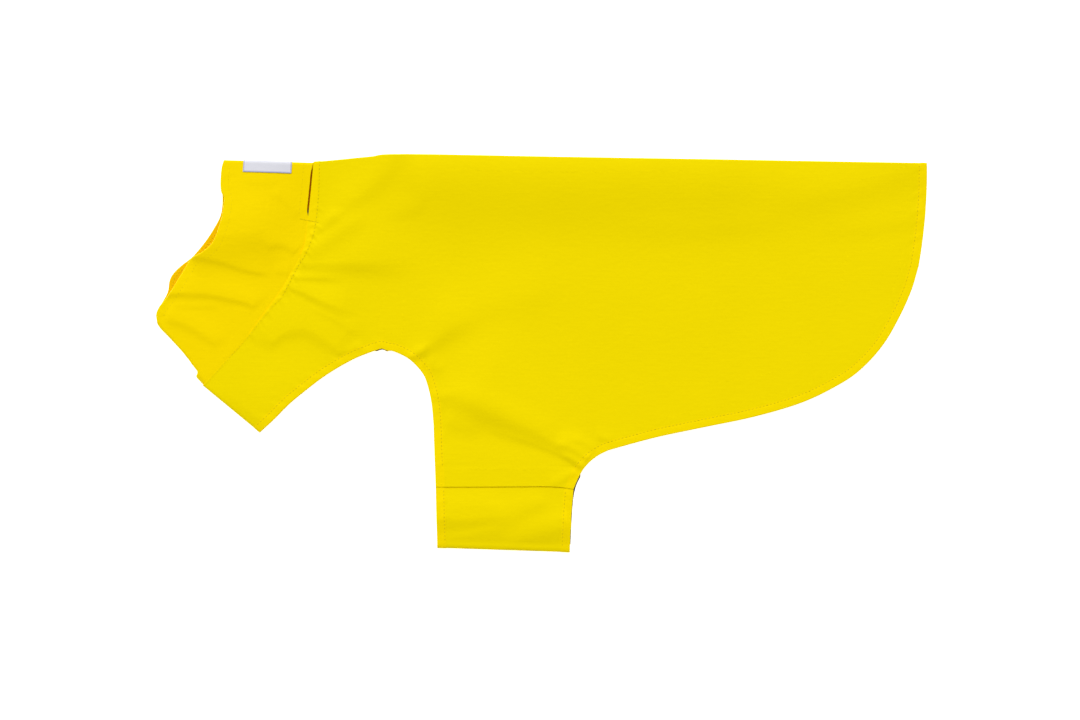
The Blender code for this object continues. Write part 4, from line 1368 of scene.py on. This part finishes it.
# %% The folds of the nape and the throat, and the whole collar
nape_line = collar_plan(np.array([seam_share(COLLAR_WALL / 2)]), NEAR_FREE_EDGE, across)[:, 0]
nape = round_fold(far_places[:, 0], near_places[:, 0], nape_line).transpose(1, 0, 2)
throat_line = along_curve(smooth_curve(THROAT_FOLD), across)
throat_line += COLLAR_WALL / 2 * toward(throat_line, near_places[:, -1, :2])
throat = round_fold(far_places[:, -1], near_places[:, -1], throat_line).transpose(1, 0, 2)[:, ::-1]
across_fold = np.linspace(0, 1, FOLD_STEPS + 1)
nape_wall = ruled(far_collar_wall[:, :1], near_collar_wall[:, :1], across_fold)[..., 0].T
throat_wall = ruled(near_collar_wall[:, -1:], far_collar_wall[:, -1:], across_fold)[..., 0].T
collar_patches = [
    patch(far_places[:, ::-1], far_collar_wall[:, ::-1], 1.0, far=True),
    patch(nape, nape_wall, 1.0),
    patch(near_places, near_collar_wall, 1.0),
    patch(throat, throat_wall, 1.0),
]
collar = cloth("rain_collar", collar_patches, collar_cloth, ("collar",))


# %% [markdown]
# ## The belly band
#
# The belly band is single cloth, hemmed down both sides. It comes out from under the near flap's hem, turns under the
# belly in a soft fold, and is sewn to the far flap's hem. A strip bent with a modifier would do for a stiff strap.
# The band is laid from its own plan instead, so that it can widen, sag before the fold and carry folds of its own.

# %% The plan and the wall of the band
TUCKED_SHARES = (0.0, 0.25, 0.5, 0.75)


def band_plan(head_side, tail_side, across, down_shares, tuck, roll):
    """The plan of half the belly band from its tucked end to where its fold starts, and its fold line.

    It is ruled between its sides, and drawn in more and more by the fold's roll on its way down. Four rows more reach
    up under the flap."""
    sides = [along_curve(smooth_curve(side), down_shares) for side in (head_side, tail_side)]
    flat = ruled(sides[0], sides[1], across).transpose(1, 0, 2)
    plan = flat - (0.0, roll) * down_shares[:, None, None]
    tucked = plan[0] - (0.0, tuck)
    return np.concatenate([ruled(tucked, plan[0], TUCKED_SHARES), plan]), flat[-1]


def band_wall(plan):
    """The wall of the band, with a hem down each side, and how far it is doubled and ripples."""
    head, _, head_reach = from_line(smooth_curve(BAND_HEAD_SIDE)[EVERY_FOURTH], plan)
    tail, _, tail_reach = from_line(smooth_curve(BAND_TAIL_SIDE)[EVERY_FOURTH], plan)
    hems = hemmed(head, tail)
    wall = PLY + (HEM_WALL - PLY) * hems - groove(head, HEM_STITCH) - groove(tail, HEM_STITCH)
    wall = np.maximum(wall * round_off(np.minimum(head, tail), EDGE_ROUND), THINNEST)
    rise = ripple(head, head_reach, HEM_STITCH) + ripple(tail, tail_reach, HEM_STITCH)
    return wall, hems, rise * ease(np.minimum(head, tail) / EDGE_CALM)


print("rows of the band under the flap:", len(TUCKED_SHARES))


# %% The belly band
BAND_WIDTH = 90.0
BAND_COLUMNS = 30
BAND_ROWS = 30
FAR_BAND_ROWS = 8

band_across = spread(BAND_WIDTH, BAND_COLUMNS, HEM_STEPS, HEM_STEPS)[:, 0]
band_down = np.linspace(0.0, 1.0, BAND_ROWS)
near_band_plan, band_fold = band_plan(BAND_HEAD_SIDE, BAND_TAIL_SIDE, band_across, band_down, BAND_TUCK, BAND_ROLL)
band_walls, band_hems, band_ripple = band_wall(near_band_plan)
near_band = patch(at_height(near_band_plan, band_height(near_band_plan) + band_ripple), band_walls, band_hems)
far_seam = along_curve(smooth_curve(FLAP_HEM), band_across) + (0.0, SEWN_GAP)
far_band_plan = ruled(far_seam, near_band_plan[-1], np.linspace(0.0, 1.0, FAR_BAND_ROWS))
far_walls, far_hems, _ = band_wall(far_band_plan)
far_band = patch(at_height(far_band_plan, FAR_SHELL), far_walls, far_hems, far=True)
under_places = round_fold(far_band[-1, :, :3], near_band[-1, :, :3], band_fold - (0.0, PLY / 2))
under_walls, under_hems, _ = band_wall(under_places[..., :2])
under_belly = patch(under_places, under_walls, under_hems)
under_belly[[0, -1]] = far_band[-1], near_band[-1]
band_patches = [near_band, under_belly[::-1], far_band[::-1]]
band = cloth("belly_band_cloth", band_patches, shell_cloth, ("belly_band",))


# %% [markdown]
# ## The linings
#
# The body and the band are lined with a dark mesh, cut a little smaller than the rain cloth and folded inside it. It
# shows as a fine dark line where it reaches past a hem, at the top of the leg opening and down the tail side of the
# band. Beside the lower part of the slit for the leash its top edge reaches out under the slit, so the slit looks
# dark there. It could be a smaller copy of the body, but it is so much plainer that it is laid anew, with few rows,
# no hems and only half of the broad rolls.

# %% The edges of the lining
LINING_INSET = 1.0
LINING_BACK_INSET = 4.6
LINING_BACK_ROLL = 1.0
LINING_CHEST_INSET = 14.0
LINING_SLIT_REACH = 2.8
LINING_SLIT_START = 32.0
LINING_SLIT_FADE = (10.0, 4.0)
CHEST_LINING_COLUMNS = 30
LINING_COLUMNS = (60, 24, 40)

lining_chest = np.linspace(ARMPIT * LINING_CHEST_INSET / curve_length(leg_line), SHOULDER, CHEST_LINING_COLUMNS)
lining_tail = 1 - LINING_INSET / curve_length(back_line)
stretches = zip((SHOULDER, ARMPIT, FLANK), (ARMPIT, FLANK, lining_tail), LINING_COLUMNS)
rest_of_lining = [np.linspace(start, end, columns) for start, end, columns in stretches]
lining_shares = np.concatenate([lining_chest] + [part[1:] for part in rest_of_lining])
lining_on_back = slice(len(lining_chest) - 1, None)
lining_top = top_edge(lining_shares)
lining_bottom = bottom_edge(lining_shares)
downward = toward(lining_top, lining_bottom)
lining_fold = lining_top[lining_on_back] + (0.0, LINING_BACK_INSET)
seam_down = lining_top[:, 1:]
# The lining's top edge reaches out under the lower part of the slit, so the slit looks dark there.
under_slit = ease((seam_down - LINING_SLIT_START) / LINING_SLIT_FADE[0])
under_slit = under_slit * ease((SLIT_END - seam_down) / LINING_SLIT_FADE[1] + 1)
under_slit *= (lining_shares < SHOULDER)[:, None]
lining_top += LINING_INSET * downward - LINING_SLIT_REACH * under_slit * (1.0, 0.0)
lining_top[lining_on_back] = lining_fold + (0.0, LINING_BACK_ROLL)
print("columns of the lining:", len(lining_shares))


# %% The lining of the body
LINING_ROWS = 40
EVERY_THIRD = slice(None, None, 3)

lining_peep = leg_peep(lining_shares, lining_bottom)
lining_down = np.linspace(0.0, 1.0, LINING_ROWS)[:, None]
near_lining_plan = body_plan(lining_shares, lining_top, lining_bottom - LINING_INSET * downward, lining_down)
lining_reach = LEG_PEEP * lining_peep - LINING_INSET * (1 - lining_peep)
far_lining_bottom = lining_bottom + lining_reach * downward
far_lining_plan = body_plan(lining_shares, lining_top, far_lining_bottom, lining_down[EVERY_THIRD])
near_lining = patch(at_height(near_lining_plan, lining_height(near_lining_plan)), LINING_PLY)
far_lining = patch(at_height(far_lining_plan, FAR_LINING), LINING_PLY, far=True)
lining_back_places = round_fold(far_lining[0, lining_on_back, :3], near_lining[0, lining_on_back, :3], lining_fold)
lining_back = patch(lining_back_places, LINING_PLY)
lining_patches = [far_lining[::-1], lining_back, near_lining]
lining = cloth("mesh_lining", lining_patches, lining_cloth, ("lining",))


# %% The lining of the belly band
LINING_HEAD_SIDE = drawn_through(
    (84.2, 213.0), (84.6, 236.0), (85.1, 257.8),
)
LINING_TAIL_SIDE = drawn_through(
    (177.4, 213.0), (175.0, 218.0), (173.5, 223.0), (172.5, 230.0), (171.7, 241.0), (170.9, 257.8),
)
LINING_TUCK = 7.0
LINING_ROLL = 1.0
INNER_COLUMNS = 30
INNER_ROWS = 24

inner_across, inner_down = (np.linspace(0.0, 1.0, count) for count in (INNER_COLUMNS, INNER_ROWS))
inner_sides = (LINING_HEAD_SIDE, LINING_TAIL_SIDE)
inner_plan, inner_fold = band_plan(*inner_sides, inner_across, inner_down, LINING_TUCK, LINING_ROLL)
near_inner = patch(at_height(inner_plan, band_lining_height(inner_plan)), LINING_PLY)
far_inner = patch(at_height(inner_plan, FAR_BAND_LINING), LINING_PLY, far=True)
inner_under = patch(round_fold(far_inner[-1, :, :3], near_inner[-1, :, :3], inner_fold), LINING_PLY)
inner_patches = [near_inner, inner_under[::-1], far_inner[::-1]]
band_lining = cloth("band_mesh_lining", inner_patches, lining_cloth, ("band_lining",))


# %% [markdown]
# ## The label
#
# A short satin ribbon is folded over the nape and sewn to both halves of the collar. Its columns run almost straight
# down from the nape, on both halves and at the collar's own heights, and are then pushed out along their normals
# until they clear the collar's wall. A Shrinkwrap modifier could press a flat ribbon onto the collar, but the
# collar's heights are known at every place, so the ribbon can simply use them. It is blank.

# %% The path of the label over the nape
LABEL_WIDTH = 32.0
LABEL_DEPTH = 6.9
LABEL_FROM_SEAM = 13.9
LABEL_LEAN = (-0.06, 1.0)
LABEL_COLUMNS = 20
LABEL_ROWS = 4
LABEL_STEPS = (0.0, 0.12, 0.3, 0.6, 0.85, 0.95, 1.2, 1.8, 2.6)
LABEL_END_STEPS = LABEL_STEPS[:7]
CLEAR_OF_COLLAR = 0.12
OVER_COLLAR = COLLAR_WALL / 2 + LABEL_PLY / 2 + CLEAR_OF_COLLAR

collar_width = np.hypot(*np.subtract(NEAR_FREE_EDGE[0], NECK_SEAM[-1]))
from_side = LABEL_WIDTH * spread(LABEL_WIDTH, LABEL_COLUMNS, LABEL_STEPS, LABEL_STEPS)[:, 0]
label_across = (LABEL_FROM_SEAM + from_side) / collar_width
label_run = LABEL_DEPTH - NAPE_ROLL
label_drop = NAPE_ROLL + label_run * spread(label_run, LABEL_ROWS, (0.0,), LABEL_END_STEPS)[:, 0]
label_nape = collar_plan(np.array([seam_share(COLLAR_WALL / 2)]), NEAR_FREE_EDGE, label_across)[:, 0]
label_plan = label_nape[:, None] + label_drop[:, None] * LABEL_LEAN
under = at_height(label_plan, collar_far_height(label_plan))
over = at_height(label_plan, collar_height(label_plan))
round_nape = round_fold(under[:, 0], over[:, 0], label_nape).transpose(1, 0, 2)
label_path = np.concatenate([under[:, :0:-1], round_nape, over[:, 1:]], axis=1)
outward = np.cross(np.gradient(label_path, axis=0), np.gradient(label_path, axis=1))
outward /= np.linalg.norm(outward, axis=-1, keepdims=True)
label_path += OVER_COLLAR * outward * np.sign(outward[0, -1, 2])
print("columns and rows of the label:", label_path.shape[:2])


# %% The label
LABEL_BORDER = 0.9
BORDER_FADE = 0.1
LABEL_ROUND = 0.25

steps = np.linalg.norm(np.diff(label_path[0], axis=0), axis=-1)
from_end = np.concatenate([np.cumsum(steps[::-1])[::-1], [0.0]])
from_start = from_end[0] - from_end
from_sides = np.minimum(from_side, LABEL_WIDTH - from_side)
edge_distance = np.minimum(from_sides[:, None], np.minimum(from_end, from_start))
label_border = 1 - ease((edge_distance - LABEL_BORDER) / BORDER_FADE + 0.5)
label_walls = np.maximum(LABEL_PLY * round_off(edge_distance, LABEL_ROUND), THINNEST)
label = cloth("woven_label", [patch(label_path, label_walls, label_border)], ribbon, ("label",))


# %% [markdown]
# ## Stitches
#
# The collar and the narrow hems are held by a single line of lockstitch. Seen close, a stitch is a short length of
# thread that comes up through one hole and goes down through the next, so it is fat in the middle and sinks at both
# ends. One small tube is the pattern for all of them. Each copy is turned along its line and set at the height of the
# cloth, all at once as one array, and all the lines that are sewn with one thread become one mesh. An Array modifier
# along a curve would give an even row too, but it can't follow the height of the cloth under each stitch.

# %% One stitch
STITCH_SIDES = 6
STITCH_RINGS = np.array([-1.0, -0.8, -0.35, 0.35, 0.8, 1.0])
STITCH_SINK = 0.28
STITCH_TAPER = 0.9


def stitch_tube(length, radius):
    """One stitch along the first axis: rings of the radius r * sqrt(1 - taper * u^2), sunk at both ends by u^4."""
    angles = np.arange(STITCH_SIDES) * 2 * np.pi / STITCH_SIDES
    ring_radius = radius * np.sqrt(1 - STITCH_TAPER * STITCH_RINGS**2)[:, None]
    along = np.broadcast_to(STITCH_RINGS[:, None] * length / 2, (len(STITCH_RINGS), STITCH_SIDES))
    rise = ring_radius * np.sin(angles) - STITCH_SINK * STITCH_RINGS[:, None] ** 4
    return np.stack([along, ring_radius * np.cos(angles), rise], axis=-1).reshape(-1, 3)


def stitch_faces():
    """The quads of one stitch: its sides, and two for each end."""
    index = np.arange(len(STITCH_RINGS) * STITCH_SIDES).reshape(-1, STITCH_SIDES)
    beside = np.roll(index, -1, axis=1)
    sides = np.stack([index[:-1], beside[:-1], beside[1:], index[1:]], axis=-1).reshape(-1, 4)
    first, last = index[0], index[-1]
    ends = [first[[0, 5, 4, 3]], first[[0, 3, 2, 1]], last[[0, 1, 2, 3]], last[[0, 3, 4, 5]]]
    return np.concatenate([sides, ends])


print("quads in a stitch:", len(stitch_faces()))


# %% A line of stitches
STITCH_PITCH = 2.45
LOOK_AHEAD = 0.4


def moved_line(line, distance):
    """A line moved sideways: every place plus the distance times the unit normal, to the left of an upward line."""
    even = along_curve(line, np.linspace(0.0, 1.0, int(curve_length(line)) + 2))
    run = np.gradient(even, axis=0)
    normal = np.stack([run[:, 1], -run[:, 0]], axis=-1) / np.linalg.norm(run, axis=-1, keepdims=True)
    return even + distance * normal


def stitch_line(line, distance, start, end, surface):
    """Middles, directions and heights of the stitches on a line beside an edge, from start to its length less end.

    A direction runs from a place a little behind the middle to a place a little ahead of it."""
    path = moved_line(line, distance)
    length = curve_length(path)
    middles = np.arange(start + STITCH_PITCH / 2, length - end, STITCH_PITCH)
    plan = along_curve(path, middles / length)
    ahead = along_curve(path, np.minimum(middles + LOOK_AHEAD, length) / length)
    behind = along_curve(path, np.maximum(middles - LOOK_AHEAD, 0.0) / length)
    return plan, toward(behind, ahead), surface(plan)


def sew(name, lines, length, radius, thread):
    """One mesh from all the stitches: each is the pattern stitch, turned by its direction (c, s) and moved into place.
    A place (x, y) of the pattern goes to (x c - y s, x s + y c)."""
    plan, direction, height = (np.concatenate(parts) for parts in zip(*lines))
    pattern = stitch_tube(length, radius)
    cosine, sine = direction[:, :1], direction[:, 1:]
    along = plan[:, :1] + pattern[:, 0] * cosine - pattern[:, 1] * sine
    down = plan[:, 1:] + pattern[:, 0] * sine + pattern[:, 1] * cosine
    rise = height[:, None] + pattern[:, 2]
    points = np.stack([along, down, rise], axis=-1)
    faces = stitch_faces() + np.arange(len(plan))[:, None, None] * len(pattern)
    uv = np.tile(pattern[:, :2], (len(plan), 1)) * MM
    places = to_frame(points.reshape(-1, 3))[:, :3]
    return add_piece(name, places, faces.reshape(-1, 4)[:, ::-1], thread, (), uv)


# %% The top of the cloth, where stitches lie
THREAD_PROUD = 0.04


def on_body(plan):
    """Height of a stitch on the near half of the body: the middle of the cloth, half its wall and a little more."""
    wall, _, rise = body_wall(near_edges, plan)
    return body_height(plan) + rise + wall / 2 + THREAD_PROUD


def on_band(plan):
    """Height of a stitch on the near half of the belly band, in the same way."""
    wall, _, rise = band_wall(plan)
    return band_height(plan) + rise + wall / 2 + THREAD_PROUD


def on_collar(plan, free_edge=NEAR_FREE_EDGE, height=collar_height):
    """Height of a stitch on half the collar, in the same way."""
    wall, rise = collar_wall(plan, free_edge)
    return height(plan) + rise + wall / 2 + THREAD_PROUD


def inside_collar(plan):
    """Height of a stitch on the inner side of the collar's far half."""
    return on_collar(plan, FAR_FREE_EDGE, collar_far_height)


print("a stitch at the flap's tail corner lies at, mm:", on_body(hem_corner).round(2))


# %% All the lines of stitches
STITCH_LENGTH = 1.5
THREAD_RADIUS = 0.22
COLLAR_THREAD_RADIUS = 0.14
FLAP_HEM_CLEAR = FLAP_HEM_WIDTH + 0.8
FAR_STITCH = 2.6
FAR_ENDS = 20.0
CHEST_PART = 75.0
SLIT_PART = SLIT_END - 4.0

head_side, tail_side, near_free, far_free = (
    smooth_curve(side) for side in (BAND_HEAD_SIDE, BAND_TAIL_SIDE, NEAR_FREE_EDGE, FAR_FREE_EDGE)
)
hem_lines = [
    stitch_line(near_edges.leg, LEG_STITCH, 2.0, FLAP_HEM_CLEAR, on_body),
    stitch_line(near_edges.tail, HEM_STITCH, FLAP_HEM_CLEAR, 1.5, on_body),
    stitch_line(neck_stitches, 0.0, CHEST_PART, 1.0, on_body),
    stitch_line(head_side, HEM_STITCH, 1.5, 2.0, on_band),
    stitch_line(tail_side, -HEM_STITCH, 1.5, 2.0, on_band),
    stitch_line(far_free, FAR_STITCH, FAR_ENDS, FAR_ENDS, inside_collar),
]
collar_lines = [
    stitch_line(neck_stitches, 0.0, 1.0, curve_length(neck_stitches) - CHEST_PART, on_body),
    stitch_line(neck_line, SLIT_STITCH + SLIT_GAP, curve_length(neck_line) - SLIT_PART, 1.5, on_collar),
    stitch_line(near_free, HEM_STITCH, 3.0, 3.0, on_collar),
]
stitches = sew("hem_stitches", hem_lines, STITCH_LENGTH, THREAD_RADIUS, hem_thread)
collar_stitches = sew("collar_stitches", collar_lines, STITCH_LENGTH, COLLAR_THREAD_RADIUS, collar_thread)
print("stitches:", sum(len(plan) for plan, _, _ in hem_lines + collar_lines))


# %% [markdown]
# ## The bar tack
#
# A slit tears at its end, so a sewing machine packs a row of short stitches across it, side by side like a ladder.
# They lie on the collar at one end of the row and on the body at the other, each at the height of its own cloth. The
# stitch is the one we have, shorter and finer, turned square to the row and slanted by turns to one side and the
# other.

# %% The bar tack
TACK_START = np.array([-7.5, 42.9])
TACK_END = np.array([4.4, 45.4])
TACK_PITCH = 0.5
TACK_LENGTH = 1.0
TACK_RADIUS = 0.13
TACK_SLANT = 0.25

tack_run = TACK_END - TACK_START
tack_count = int(np.hypot(*tack_run) / TACK_PITCH)
tack_plan = TACK_START + np.linspace(0.0, 1.0, tack_count)[:, None] * tack_run
slant = np.where(np.arange(tack_count) % 2, TACK_SLANT, -TACK_SLANT)
square = np.arctan2(tack_run[1], tack_run[0]) + np.pi / 2 + slant
tack_direction = np.stack([np.cos(square), np.sin(square)], axis=-1)
_, tack_side, _ = from_line(neck_line[EVERY_FOURTH], tack_plan)
tack_height = np.where(tack_side > 0, on_collar(tack_plan), on_body(tack_plan)) + TACK_RADIUS / 2
tack = sew("bar_tack", [(tack_plan, tack_direction, tack_height)], TACK_LENGTH, TACK_RADIUS, hem_thread)
